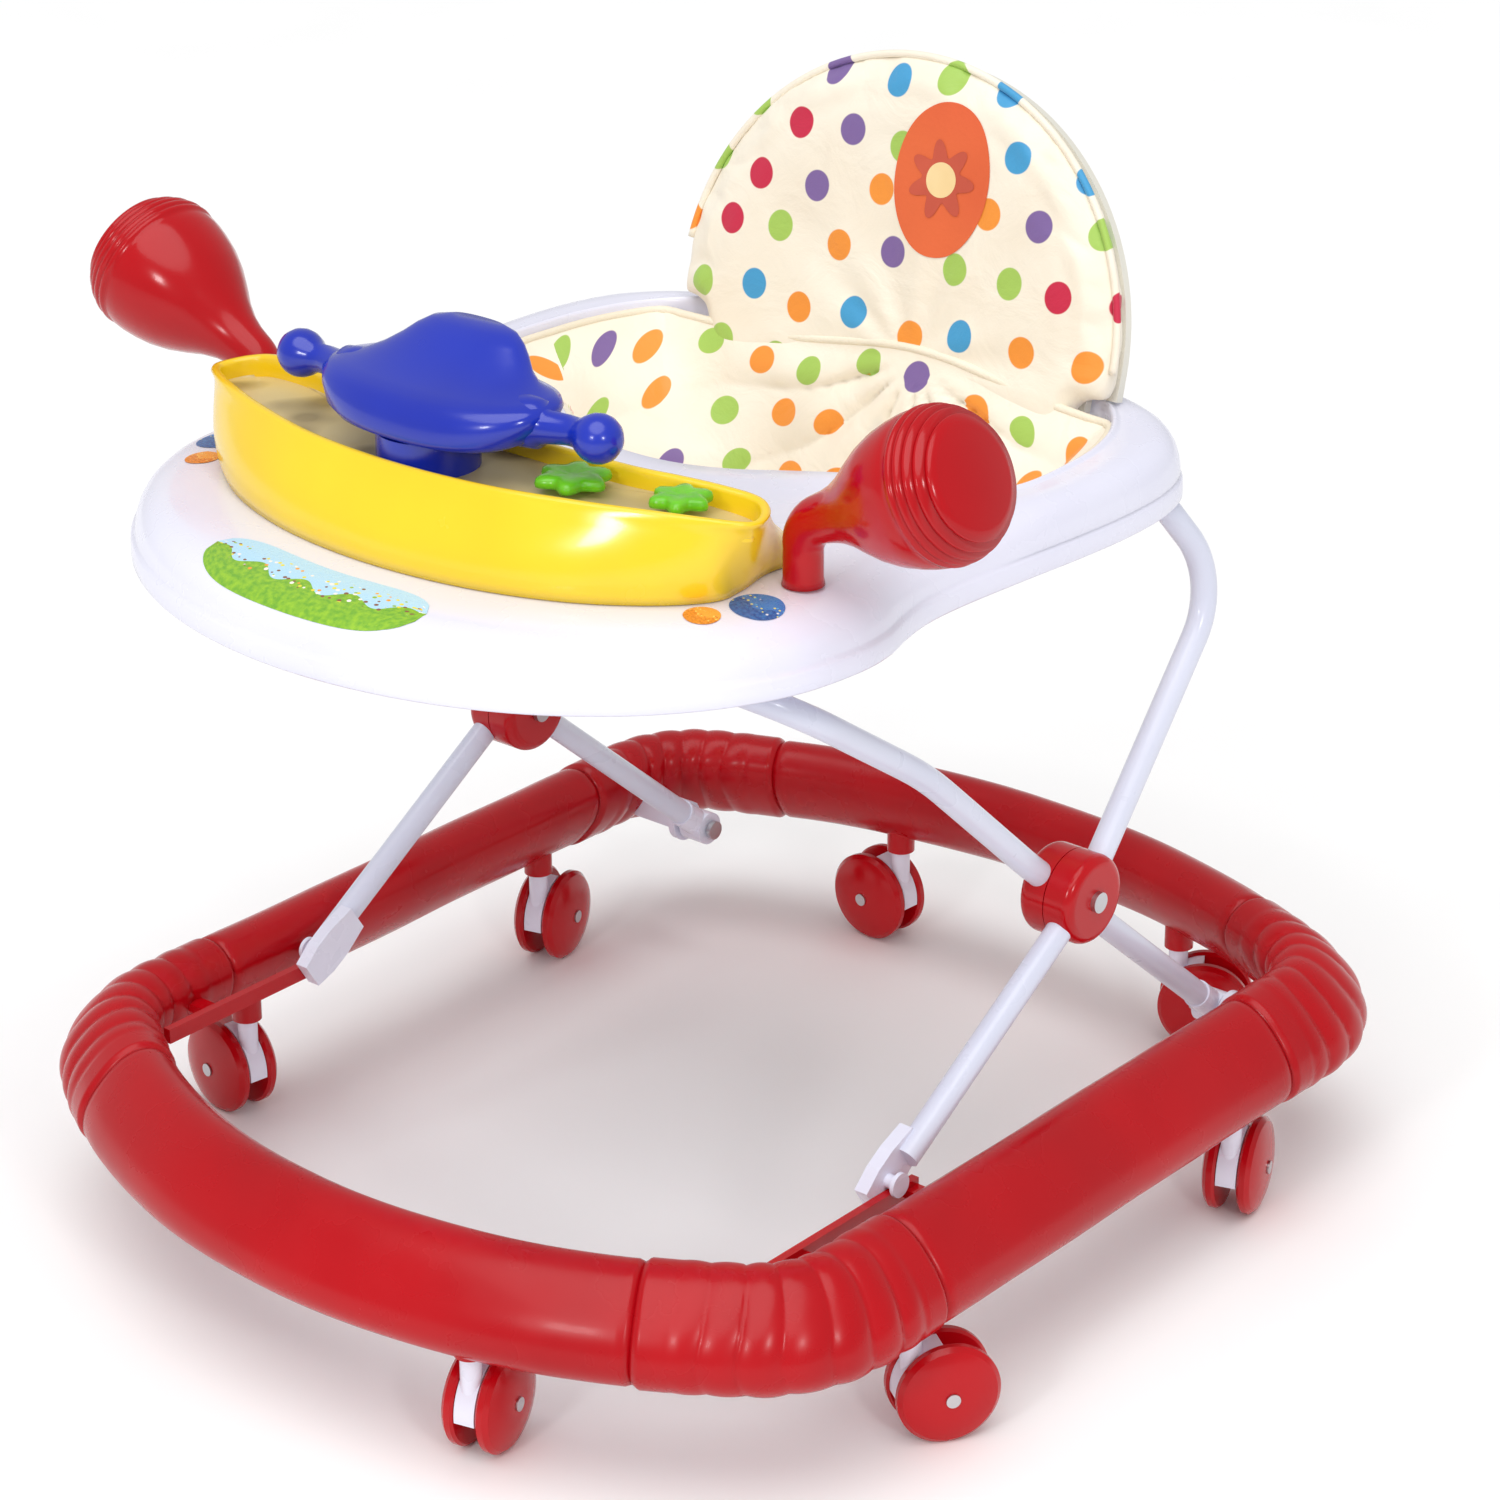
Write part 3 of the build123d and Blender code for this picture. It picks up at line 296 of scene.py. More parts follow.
def fabric(name, across, down, spacing=0.039, dot_radius=0.0088):
    """Cream cloth printed with staggered dots. across and down give the cloth's own two
    coordinates in metres: a coordinate source and the axis to read from it."""
    material, tree, shader = node_material(name)
    sources = add_node(tree, "ShaderNodeTexCoord")
    u = add_node(tree, "ShaderNodeSeparateXYZ")
    tree.links.new(sources.outputs[across[0]], u.inputs[0])
    row_pitch = spacing * 0.866
    x = math_node(tree, "DIVIDE", u.outputs[across[1]], spacing)
    y = math_node(tree, "DIVIDE", u.outputs[down[1]], row_pitch)
    row = math_node(tree, "FLOOR", y)
    x = math_node(tree, "ADD", x, math_node(tree, "MULTIPLY", math_node(tree, "PINGPONG", row, 1.0), 0.5))
    column = math_node(tree, "FLOOR", x)
    cell = add_node(tree, "ShaderNodeCombineXYZ")
    tree.links.new(column, cell.inputs[0])
    tree.links.new(row, cell.inputs[1])
    random = add_node(tree, "ShaderNodeTexWhiteNoise", noise_dimensions="3D")
    tree.links.new(cell.outputs[0], random.inputs["Vector"])
    jitter = add_node(tree, "ShaderNodeSeparateXYZ")
    tree.links.new(random.outputs["Color"], jitter.inputs[0])

    def offset(value, base, pitch, part):
        local = math_node(tree, "SUBTRACT", math_node(tree, "SUBTRACT", value, base), 0.5)
        shift = math_node(tree, "MULTIPLY", math_node(tree, "SUBTRACT", part, 0.5), 0.30)
        return math_node(tree, "MULTIPLY", math_node(tree, "ADD", local, shift), pitch)

    dx = offset(x, column, spacing, jitter.outputs[0])
    dy = offset(y, row, row_pitch, jitter.outputs[1])
    distance = math_node(
        tree, "SQRT",
        math_node(tree, "ADD", math_node(tree, "MULTIPLY", dx, dx), math_node(tree, "MULTIPLY", dy, dy)),
    )
    edge = add_node(tree, "ShaderNodeMapRange", interpolation_type="SMOOTHSTEP")
    edge.inputs["From Min"].default_value = dot_radius + 0.0004
    edge.inputs["From Max"].default_value = dot_radius - 0.0004
    tree.links.new(distance, edge.inputs["Value"])

    palette = add_node(tree, "ShaderNodeValToRGB")
    palette.color_ramp.interpolation = "CONSTANT"
    while len(palette.color_ramp.elements) < len(DOT_COLORS):
        palette.color_ramp.elements.new(0.5)
    for index, (element, color) in enumerate(zip(palette.color_ramp.elements, DOT_COLORS)):
        element.position = index / len(DOT_COLORS)
        element.color = (*color, 1)
    pick = add_node(tree, "ShaderNodeTexWhiteNoise", noise_dimensions="3D")
    moved = add_node(tree, "ShaderNodeVectorMath", operation="ADD")
    moved.inputs[1].default_value = (11.5, 3.5, 7.0)
    tree.links.new(cell.outputs[0], moved.inputs[0])
    tree.links.new(moved.outputs[0], pick.inputs["Vector"])
    tree.links.new(pick.outputs["Value"], palette.inputs["Fac"])

    place = sources.outputs["Object"]
    cream = shade_variation(tree, place, (0.93, 0.87, 0.74), (0.89, 0.81, 0.67), 14.0)
    mix = add_node(tree, "ShaderNodeMix", data_type="RGBA")
    tree.links.new(edge.outputs["Result"], mix.inputs["Factor"])
    tree.links.new(cream, mix.inputs["A"])
    tree.links.new(palette.outputs["Color"], mix.inputs["B"])
    tree.links.new(mix.outputs["Result"], shader.inputs["Base Color"])
    noise_roughness(tree, shader, place, 0.42, 0.60, 40.0)

    weave = add_node(tree, "ShaderNodeTexNoise")
    weave.inputs["Scale"].default_value = 900.0
    weave.inputs["Detail"].default_value = 2
    creases = add_node(tree, "ShaderNodeTexNoise")
    creases.inputs["Scale"].default_value = 26.0
    creases.inputs["Detail"].default_value = 5
    creases.inputs["Distortion"].default_value = 1.2
    for noise in (weave, creases):
        tree.links.new(place, noise.inputs["Vector"])
    fine = add_node(tree, "ShaderNodeBump")
    fine.inputs["Strength"].default_value = 0.18
    fine.inputs["Distance"].default_value = 0.0004
    tree.links.new(weave.outputs["Fac"], fine.inputs["Height"])
    coarse = add_node(tree, "ShaderNodeBump")
    coarse.inputs["Strength"].default_value = 0.45
    coarse.inputs["Distance"].default_value = 0.004
    tree.links.new(creases.outputs["Fac"], coarse.inputs["Height"])
    tree.links.new(fine.outputs["Normal"], coarse.inputs["Normal"])
    tree.links.new(coarse.outputs["Normal"], shader.inputs["Normal"])
    shader.inputs["Sheen Weight"].default_value = 0.15
    return material


PAD_CLOTH = fabric("dotted_cloth_pad", ("Object", 0), ("Object", 2))
SLING_CLOTH = fabric("dotted_cloth_sling", ("UV", 0), ("UV", 1))

SLOT_MATERIALS = {
    "red_bumper": RED_BUMPER,
    "red_plastic": RED,
    "white_plastic": WHITE,
    "white_tube": TUBE,
    "steel": STEEL,
    "yellow_plastic": YELLOW,
    "printed_panel": BOARD,
    "blue_plastic": BLUE,
    "green_plastic": GREEN,
    "dotted_fabric": PAD_CLOTH,
    "matte_board": BOARD,
}
for part in frame["record"]["subparts"]:
    node = frame["nodes"][part["node"]]
    node.data.materials.clear()
    node.data.materials.append(SLOT_MATERIALS[part["material_slot"]])

# ---------------------------------------------------------------- base ring

RING = dict(half_length=330, half_width=265, front=400, rear=514, corner=67, z=101)
SECTION_LONG, SECTION_SHORT, SECTION_SLANT = 33.0, 21.0, radians(-50)
corner_x = RING["half_width"] - RING["corner"]
front_centre = -RING["half_length"] + RING["front"]
rear_centre = RING["half_length"] - RING["rear"]
front_corner_y = front_centre - sqrt((RING["front"] - RING["corner"]) ** 2 - corner_x**2)
rear_corner_y = rear_centre + sqrt((RING["rear"] - RING["corner"]) ** 2 - corner_x**2)
front_join = atan2(front_corner_y - front_centre, corner_x)
rear_join = atan2(rear_corner_y - rear_centre, corner_x)
front_seam = front_join - 55 / RING["front"]
rear_seam = rear_join + 45 / RING["rear"]


def arc_points(centre, radius, start, stop, step):
    count = max(2, int(abs(stop - start) * radius / step) + 1)
    angles = np.linspace(start, stop, count)
    return np.stack([centre[0] + radius * np.cos(angles), centre[1] + radius * np.sin(angles)], 1)


def line_points(start, stop, step):
    count = max(2, int(np.hypot(*(np.subtract(stop, start))) / step) + 1)
    return np.linspace(start, stop, count)


def joined(*runs):
    return np.concatenate([runs[0]] + [run[1:] for run in runs[1:]])


def corner_centreline(side, front, step=1.2):
    """Centreline of a corner sleeve on the left (side 1); the right is its mirror image."""
    x = RING["half_width"]
    if front:
        path = joined(
            arc_points((0, front_centre), RING["front"], front_seam, front_join, step),
            arc_points((corner_x, front_corner_y), RING["corner"], front_join, 0, step),
            line_points((x, front_corner_y), (x, front_corner_y + 45), step),
        )
    else:
        path = joined(
            line_points((x, rear_corner_y - 45), (x, rear_corner_y), step),
            arc_points((corner_x, rear_corner_y), RING["corner"], 0, rear_join, step),
            arc_points((0, rear_centre), RING["rear"], rear_join, rear_seam, step),
        )
    return path if side > 0 else (path * (-1, 1))[::-1]


def bumper_rings(path, profile, sides=72):
    """Slanted oval sections along an anticlockwise plan path. profile(distance, angles) gives
    how much each point of the section stands out, in millimetres."""
    tangents = frames_along(path)
    distance = np.concatenate([[0], np.cumsum(np.linalg.norm(np.diff(path, axis=0), axis=1))])
    angles = np.linspace(0, 2 * pi, sides, endpoint=False)
    shape_out = power(np.cos(angles), 2 / 2.35)
    shape_up = power(np.sin(angles), 2 / 2.35)
    rings = []
    for point, tangent, along in zip(path, tangents, distance):
        extra = profile(along, angles, distance[-1])
        out = (SECTION_LONG + extra) * shape_out
        up = (SECTION_SHORT + extra) * shape_up
        across = out * cos(SECTION_SLANT) - up * sin(SECTION_SLANT)
        height = out * sin(SECTION_SLANT) + up * cos(SECTION_SLANT)
        outward = np.array([tangent[1], -tangent[0]])
        ring = np.empty((sides, 3))
        ring[:, :2] = point + np.outer(across, outward)
        ring[:, 2] = RING["z"] + height
        rings.append(ring * MM)
    return rings


def plain_profile(along, angles, total):
    end = min(along, total - along)
    swell = 0.5 * sin(along * 0.021) + 0.3 * sin(along * 0.057 + 1.3)
    return swell * smoothstep(0, 20, end) * np.cos(angles - 1.2) - 1.5 * (1 - smoothstep(0, 4, end))


def sleeve_profile(seed):
    """Gathered folds across the bumper: rounded ridges between narrow creases."""
    folds = np.random.default_rng(seed)
    count = 7
    phase = folds.uniform(-0.5, 0.5, count + 2)
    depth = folds.uniform(0.7, 1.25, count + 2)

    def profile(along, angles, total):
        margin = 16.0
        inside = np.clip((along - margin) / (total - 2 * margin), 0, 1)
        drift = 0.10 * np.sin(angles * 2 + seed) + 0.05 * np.sin(angles * 3 + 2 * seed)
        place = inside * count + drift * (0 < inside < 1)
        index = np.clip(place.astype(int), 0, count)
        within = place - np.floor(place)
        ridge = np.abs(np.sin(pi * within + 0.2 * phase[index])) ** 0.7
        fade = float(smoothstep(0, 0.06, inside) * (1 - smoothstep(0.94, 1, inside)))
        wave = (ridge - 0.75) * 2.3 * depth[index] * (0.55 + 0.45 * np.cos(angles - 1.0) ** 2)
        end = min(along, total - along)
        return 1.2 + fade * wave - 2.2 * (1 - smoothstep(0, 3.5, end))

    return profile


loft("front_bumper", bumper_rings(
    arc_points((0, front_centre), RING["front"], -pi - front_seam, front_seam, 4), plain_profile),
    RED_BUMPER, "base", ["bumper_front"])
loft("rear_bumper", bumper_rings(
    arc_points((0, rear_centre), RING["rear"], rear_seam, pi - rear_seam, 4), plain_profile),
    RED_BUMPER, "base", ["bumper_rear"])
side_span = (front_corner_y + 45, rear_corner_y - 45)
loft("left_bumper", bumper_rings(
    line_points((RING["half_width"], side_span[0]), (RING["half_width"], side_span[1]), 4), plain_profile),
    RED_BUMPER, "base", ["bumper_left"])
loft("right_bumper", bumper_rings(
    line_points((-RING["half_width"], side_span[1]), (-RING["half_width"], side_span[0]), 4), plain_profile),
    RED_BUMPER, "base", ["bumper_right"])
for place, side, front in (("front_left", 1, True), ("front_right", -1, True),
                           ("rear_left", 1, False), ("rear_right", -1, False)):
    seed = 3 + 2 * front + (side > 0)
    loft(f"gathered_sleeve_{place}", bumper_rings(corner_centreline(side, front), sleeve_profile(seed)),
         RED_BUMPER, "base", [f"corner_sleeve_{place}"])

# ---------------------------------------------------------------- tray

TRAY_EDGE = [
    (0, -334.5), (62, -327.6), (118, -308.3), (165, -278.4), (200, -240.5), (222, -197), (229, -154),
    (227, -126), (220.5, -104), (215.5, -80), (214.5, -50), (217.5, -1), (221.5, 50), (222.5, 90),
    (219, 128), (207, 160), (179.5, 185.5), (141, 198.5), (90, 204.5), (40, 207),
]
OPENING_EDGE = [
    (0, -62), (28, -59), (56, -48), (84, -29), (112, -11), (145, 1), (172, 10), (187, 25), (191, 45),
    (190, 75), (186, 105), (173, 140), (148, 170), (112, 185), (60, 189),
]


def mirrored_loop(half, count):
    """A closed loop from the points of its left half, front to rear."""
    half = np.asarray(half, float)
    other = half[::-1] * (-1, 1)
    other = other[:-1] if half[0, 0] == 0 else other
    if half[-1, 0] == 0:
        other = other[1:]
    return closed_spline(np.concatenate([half, other]), count)


TRAY_COUNT = 360
tray_outline = mirrored_loop(TRAY_EDGE, TRAY_COUNT)
tray_normals = outward_normals(tray_outline)
opening_raw = mirrored_loop(OPENING_EDGE, 720)
opening_heading = np.arctan2(opening_raw[:, 1] - 65, opening_raw[:, 0])
outline_heading = np.arctan2(tray_outline[:, 1] - 65, tray_outline[:, 0])
opening = np.array([
    opening_raw[np.argmin(np.abs(np.angle(np.exp(1j * (opening_heading - a)))))] for a in outline_heading
])
for _ in range(3):
    opening = (np.roll(opening, 1, 0) + 2 * opening + np.roll(opening, -1, 0)) / 4
rim_width = np.linalg.norm(tray_outline - opening, axis=1)

# inset from the edge and height of the crowned top, for a wide rim
CROWN = [(2.8, 445), (3.4, 449), (5.0, 453.5), (7.6, 457.5), (11.5, 461), (17, 464), (25, 466.2), (34, 467.4),
         (46, 468)]
crown_insets = np.array([c[0] for c in CROWN])
crown_heights = np.array([c[1] for c in CROWN])
crown_scale = np.clip((rim_width - 5) / 62, 0.30, 1.0)


def tray_ring(inset, z):
    """The tray's outline moved inwards, at one height."""
    inset = np.broadcast_to(inset, rim_width.shape)
    plan = tray_outline - tray_normals * inset[:, None]
    return np.column_stack([plan, np.broadcast_to(z, rim_width.shape)])


def tray_surface_point(index, inset):
    """A point of the tray's top near its edge, index counted along the outline."""
    i = int(round(index)) % TRAY_COUNT
    z = np.interp(inset / crown_scale[i], crown_insets, crown_heights)
    plan = tray_outline[i] - tray_normals[i] * inset
    return np.array([plan[0], plan[1], z])


tray_rings = [tray_ring(1.8, 440), tray_ring(1.8, 432), tray_ring(1.5, 431), tray_ring(0.6, 431),
              tray_ring(0.0, 432), tray_ring(0.0, 436), tray_ring(0.3, 441), tray_ring(1.0, 442.6),
              tray_ring(2.4, 443.4)]
tray_rings += [tray_ring(inset * crown_scale, z) for inset, z in CROWN]
last_plan = tray_rings[-1][:, :2]
for step in np.linspace(0.12, 1, 12):
    blend = last_plan * (1 - step) + opening * step
    z = 468 + 1.6 * smoothstep(0.75, 0.97, step)
    tray_rings.append(np.column_stack([blend, np.full(TRAY_COUNT, z)]))
rim_inward = outward_normals(opening)
for inset, z in ((0.8, 469.2), (1.6, 467.8), (1.8, 464), (1.8, 436), (-1.0, 434.5), (-3.0, 436), (-3.0, 464)):
    plan = opening - rim_inward * inset
    tray_rings.append(np.column_stack([plan, np.full(TRAY_COUNT, z)]))
tray = loft("tray_top", [ring * MM for ring in tray_rings], WHITE, "tray", ["tray_shell"],
            cap_start=False, cap_end=False)


# Ribs that bear on the crossbar, and cheeks for the tray's pivots, under the tray


def underside_block(name, centre, size):
    """A block with its edges slightly eased, riding on the tray."""
    block = bmesh.new()
    bmesh.ops.create_cube(block, size=1.0)
    bmesh.ops.scale(block, vec=Vector(size) * MM, verts=block.verts)
    bmesh.ops.translate(block, vec=Vector(centre) * MM, verts=block.verts)
    bmesh.ops.bevel(block, geom=list(block.edges), offset=0.8 * MM, segments=2, affect="EDGES")
    verts = [tuple(v.co) for v in block.verts]
    faces = [tuple(v.index for v in f.verts) for f in block.faces]
    block.free()
    make_object(name, verts, faces, WHITE, "tray")


UNDER_TOP, RIB_BOTTOM = 464.7, 422.0
for side, label in ((1, "left"), (-1, "right")):
    underside_block(f"tray_rib_{label}", (side * 110.0, -215.0, (UNDER_TOP + RIB_BOTTOM) / 2),
                    (5.0, 100.0, UNDER_TOP - RIB_BOTTOM))
    underside_block(f"tray_cheek_{label}", (side * 185.25, 140.0, UNDER_TOP - 13.0), (4.5, 22.0, 26.0))

# ---------------------------------------------------------------- play panel


def panel_rim(count=260):
    """The panel's upper edge: bowed in front, swept back and down towards its ends."""
    half = [(0, -252), (60, -247), (112, -233), (150, -217), (174, -203), (187, -192), (190, -183),
            (184, -170), (172, -163), (150, -166), (126, -171), (100, -176), (60, -178), (25, -178)]
    loop = mirrored_loop(half, count)
    height = 518 - 6 * (np.abs(loop[:, 0]) / 190) ** 6
    return np.column_stack([loop, height])


def panel_base(count=260):
    half = [(0, -270), (60, -264), (112, -247), (150, -223), (172, -198), (173, -178), (168, -152),
            (169, -130), (162, -114), (158, -116), (140, -132), (100, -146), (60, -150), (25, -151)]
    return np.column_stack([mirrored_loop(half, count), np.full(count, 468.5)])


rim, base = panel_rim(), panel_base()
rim_out = np.column_stack([outward_normals(rim[:, :2]), np.zeros(len(rim))])
panel_rings = [base - rim_out * 3, base + (0, 0, 0.2)]
for t in np.linspace(0.12, 0.9, 9):
    ring = base * (1 - t) + rim * t
    beside_stem = smoothstep(135, 165, np.abs(ring[:, 0])) * smoothstep(-200, -180, ring[:, 1])
    bulge = 5.5 * sin(pi * t ** 0.8) * (1 - beside_stem)
    panel_rings.append(ring + rim_out * bulge[:, None])
panel_rings += [rim + rim_out * 1.2 - (0, 0, 1.6), rim + rim_out * 0.3 - (0, 0, 0.3), rim - rim_out * 1.6,
                rim - rim_out * 3.4 - (0, 0, 0.6), rim - rim_out * 4.2 - (0, 0, 2.2),
                rim - rim_out * 4.6 - (0, 0, 12)]
panel = loft("panel_shell", [ring * MM for ring in panel_rings], YELLOW, "tray", ["play_panel"],
             cap_start=False, cap_end=False)

deck_edge = rim - rim_out * 4.4 - (0, 0, 9.9)
deck_rings = []
for t in np.linspace(0, 1, 14):
    middle_y = -205 + deck_edge[:, 0] ** 2 * 0.0015
    centre_line = np.column_stack([deck_edge[:, 0] * 0.9, middle_y, deck_edge[:, 2]])
    deck_rings.append(deck_edge * (1 - t) + centre_line * t)


def deck_material():
    """Printed tan film with soft darker shapes."""
    material, tree, shader = node_material("printed_film")
    place = add_node(tree, "ShaderNodeTexCoord").outputs["Object"]
    blotch = add_node(tree, "ShaderNodeTexVoronoi", feature="SMOOTH_F1")
    blotch.inputs["Scale"].default_value = 34.0
    tree.links.new(place, blotch.inputs["Vector"])
    ramp = add_node(tree, "ShaderNodeValToRGB")
    ramp.color_ramp.elements[0].position = 0.25
    ramp.color_ramp.elements[0].color = (0.34, 0.25, 0.10, 1)
    ramp.color_ramp.elements[1].position = 0.45
    ramp.color_ramp.elements[1].color = (0.66, 0.52, 0.24, 1)
    tree.links.new(blotch.outputs["Distance"], ramp.inputs["Fac"])
    tree.links.new(ramp.outputs["Color"], shader.inputs["Base Color"])
    noise_roughness(tree, shader, place, 0.28, 0.45, 50.0)
    noise_bump(tree, shader, place, 60.0, 0.05, 0.001)
    return material


FILM = deck_material()
loft("panel_film", [ring * MM for ring in deck_rings], FILM, "tray", ["panel_deck"],
     cap_start=False, cap_end=False)

# ---------------------------------------------------------------- steering

angles = np.linspace(0, 2 * pi, 96, endpoint=False)


def yoke_ring(z, half_x, half_y, y, exponent=2.4):
    x = half_x * power(np.cos(angles), 2 / exponent)
    return np.column_stack([x, y + half_y * power(np.sin(angles), 2 / exponent), np.full(96, z)])


YOKE = [(527.6, 50, 27, -219), (528.8, 57, 31, -217), (533, 66, 35, -214), (541, 72, 36.5, -211),
        (547, 74, 35.5, -209), (550.5, 72, 32, -207), (552.5, 65, 27, -205), (555, 56, 22, -202),
        (559, 48, 18, -197), (564, 41, 15, -191), (569, 35, 12, -187), (573, 28, 9, -184),
        (575, 18, 5.5, -182)]
yoke_rings = [yoke_ring(*row) * MM for row in YOKE]
steering = loft("steering_yoke", yoke_rings, BLUE, "steering", ["steering_handle"])
GRIP = [(40, 14), (60, 13.5), (68, 12.5), (71, 9.5), (74, 8.6), (84, 7.8), (90, 7.6), (93, 8.6), (96, 10.6),
        (100, 12.4), (104, 13), (108, 12.4), (112, 10.3), (115, 7), (116.8, 3)]
for side, label in ((1, "left"), (-1, "right")):
    path = [(side * x, -206 if x > 80 else -209, 541) for x, _ in GRIP]
    loft(f"steering_grip_{label}", [r * MM for r in tube_rings(path, [g[1] for g in GRIP])], BLUE, "steering")

# ---------------------------------------------------------------- toy mirrors


def mirror_path():
    """Centreline of the left mirror and its radius: upright stem, bend, then the bulb."""
    tilt = radians(25)
    stem_x, base_z, bend_radius, bend_z = 190.0, 468.5, 20.0, 488.0
    points, radii = [], []
    for z in np.linspace(base_z, bend_z, 6):
        points.append((stem_x, z))
        radii.append(10.4)
    radii[0] = 11.2
    turn = pi / 2 - tilt
    for a in np.linspace(0, turn, 10)[1:]:
        points.append((stem_x + bend_radius * (1 - cos(a)), bend_z + bend_radius * sin(a)))
        radii.append(10.6 + 2.2 * a / turn)
    origin = np.array(points[-1])
    along = np.array([cos(tilt), sin(tilt)])
    bulb = [(6, 13.6), (14, 15.6), (24, 20), (34, 26), (44, 31.5), (54, 35.6), (63, 38), (70, 39.3),
            (76, 39.8)]
    for s, r in bulb:
        points.append(origin + along * s)
        radii.append(r)
    for k in range(5):
        start = 79 + 4.6 * k
        shrink = 40.2 - 0.55 * k**2
        for ds, dr in ((0, -0.9), (0.9, 0.1), (2.3, 0.45), (3.7, 0.1)):
            points.append(origin + along * (start + ds))
            radii.append(shrink + dr)
    for s, r in ((102, 26), (103.4, 16), (104.2, 6)):
        points.append(origin + along * s)
        radii.append(r)
    return points, radii


mirror_points, mirror_radii = mirror_path()
for side, label in ((1, "left"), (-1, "right")):
    path = [(side * x, -150 + 0.02 * (x - 190), z) for x, z in mirror_points]
    loft(f"toy_mirror_{label}", [r * MM for r in tube_rings(path, mirror_radii, 64)], RED, f"toy_{label}",
         [f"mirror_stem_{label}", f"mirror_bulb_{label}"])

# ---------------------------------------------------------------- flower buttons

# width of each level as a share of the flower, and its height
FLOWER_SECTIONS = ((0.80, 511.7), (0.98, 512.4), (1.0, 514), (0.96, 516.6), (0.84, 517.8), (0.5, 518.2),
                   (0.18, 517))

for label in ("inner", "outer"):
    low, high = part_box(f"flower_button_{label}")
    shift, size = (0, 20.5) if label == "inner" else (-6, 17)
    centre = ((low[0] + high[0]) / 2 / MM, (low[1] + high[1]) / 2 / MM + shift)
    rings = []
    for scale, z in FLOWER_SECTIONS:
        turn = np.linspace(0, 2 * pi, 90, endpoint=False)
        radius = size * scale * (0.86 + 0.14 * np.cos(6 * turn))
        rings.append(np.column_stack([centre[0] + radius * np.cos(turn), centre[1] + radius * np.sin(turn),
                                      np.full(90, z)]) * MM)
    loft(f"flower_{label}", rings, GREEN, f"button_{label}", [f"flower_button_{label}"])

# ---------------------------------------------------------------- backrest

BACK_TILT = radians(13.6)
BACK_ORIGIN = np.array([0, 155.8, 490.0])
BACK_UP = np.array([0, sin(BACK_TILT), cos(BACK_TILT)])
BACK_OUT = np.array([0, -cos(BACK_TILT), sin(BACK_TILT)])


def back_outline(inset, count=160):
    """The backrest's outline in its own plane: a half oval over a narrower tongue."""
    arc = np.linspace(0, pi, 60)
    half_width, rise = 158 - inset, 153 - inset
    shape = [(half_width * cos(a), rise * sin(a)) for a in arc]
    corner = [(half_width, -14), (half_width - 16, -20), (138 - inset, -24), (137 - inset, -46),
              (126 - inset, -51)]
    shape += [(-x, y) for x, y in corner]
    shape += [(x, -52 + inset) for x in (-80, 0, 80)]
    shape += corner[::-1]
    shape = np.array(shape)
    closed = np.concatenate([shape, shape[:1]])
    length = np.concatenate([[0], np.cumsum(np.linalg.norm(np.diff(closed, axis=0), axis=1))])
    at = np.linspace(0, length[-1], count, endpoint=False)
    return np.stack([np.interp(at, length, closed[:, k]) for k in range(2)], 1)


def on_back(plan, behind):
    """Points of the backrest plane, moved back from its front face."""
    plan = np.atleast_2d(plan)
    behind = np.broadcast_to(behind, len(plan))
    flat = BACK_ORIGIN + plan[:, :1] * np.array([1, 0, 0]) + plan[:, 1:] * BACK_UP
    return (flat - behind[:, None] * BACK_OUT) * MM


def swollen(obj, voxel, pressure, cap):
    """Remesh, blow up as cloth, cap how far any point moved, and leave a plain mesh."""
    scene = bpy.context.scene
    for other in bpy.context.selected_objects:
        other.select_set(False)
    bpy.context.view_layer.objects.active = obj
    obj.select_set(True)
    remesh = obj.modifiers.new("remesh", "REMESH")
    remesh.mode = "VOXEL"
    remesh.voxel_size = voxel
    bpy.ops.object.modifier_apply(modifier=remesh.name)
    start = np.array([v.co[:] for v in obj.data.vertices])
    cloth = obj.modifiers.new("cloth", "CLOTH")
    cloth.settings.quality = 5
    cloth.settings.mass = 0.3
    cloth.settings.use_pressure = True
    cloth.settings.uniform_pressure_force = pressure
    cloth.settings.effector_weights.gravity = 0
    cloth.point_cache.frame_start = 1
    cloth.point_cache.frame_end = 20
    for number in range(1, 21):
        scene.frame_set(number)
    bpy.ops.object.modifier_apply(modifier=cloth.name)
    scene.frame_set(1)
    moved = np.array([v.co[:] for v in obj.data.vertices]) - start
    size = np.linalg.norm(moved, axis=1)
    moved *= np.minimum(1, cap / np.maximum(size, 1e-9))[:, None]
    obj.data.vertices.foreach_set("co", (start + moved).ravel())
    obj.data.update()


pad_rings = [on_back(back_outline(60), 4), on_back(back_outline(20), 3), on_back(back_outline(7), 4),
             on_back(back_outline(4.5), 8), on_back(back_outline(4.5), 14), on_back(back_outline(7), 17)]
pad = loft("backrest_cushion", pad_rings, PAD_CLOTH, "tray", ["backrest_pad"])
swollen(pad, 0.005, 4.0, 0.006)


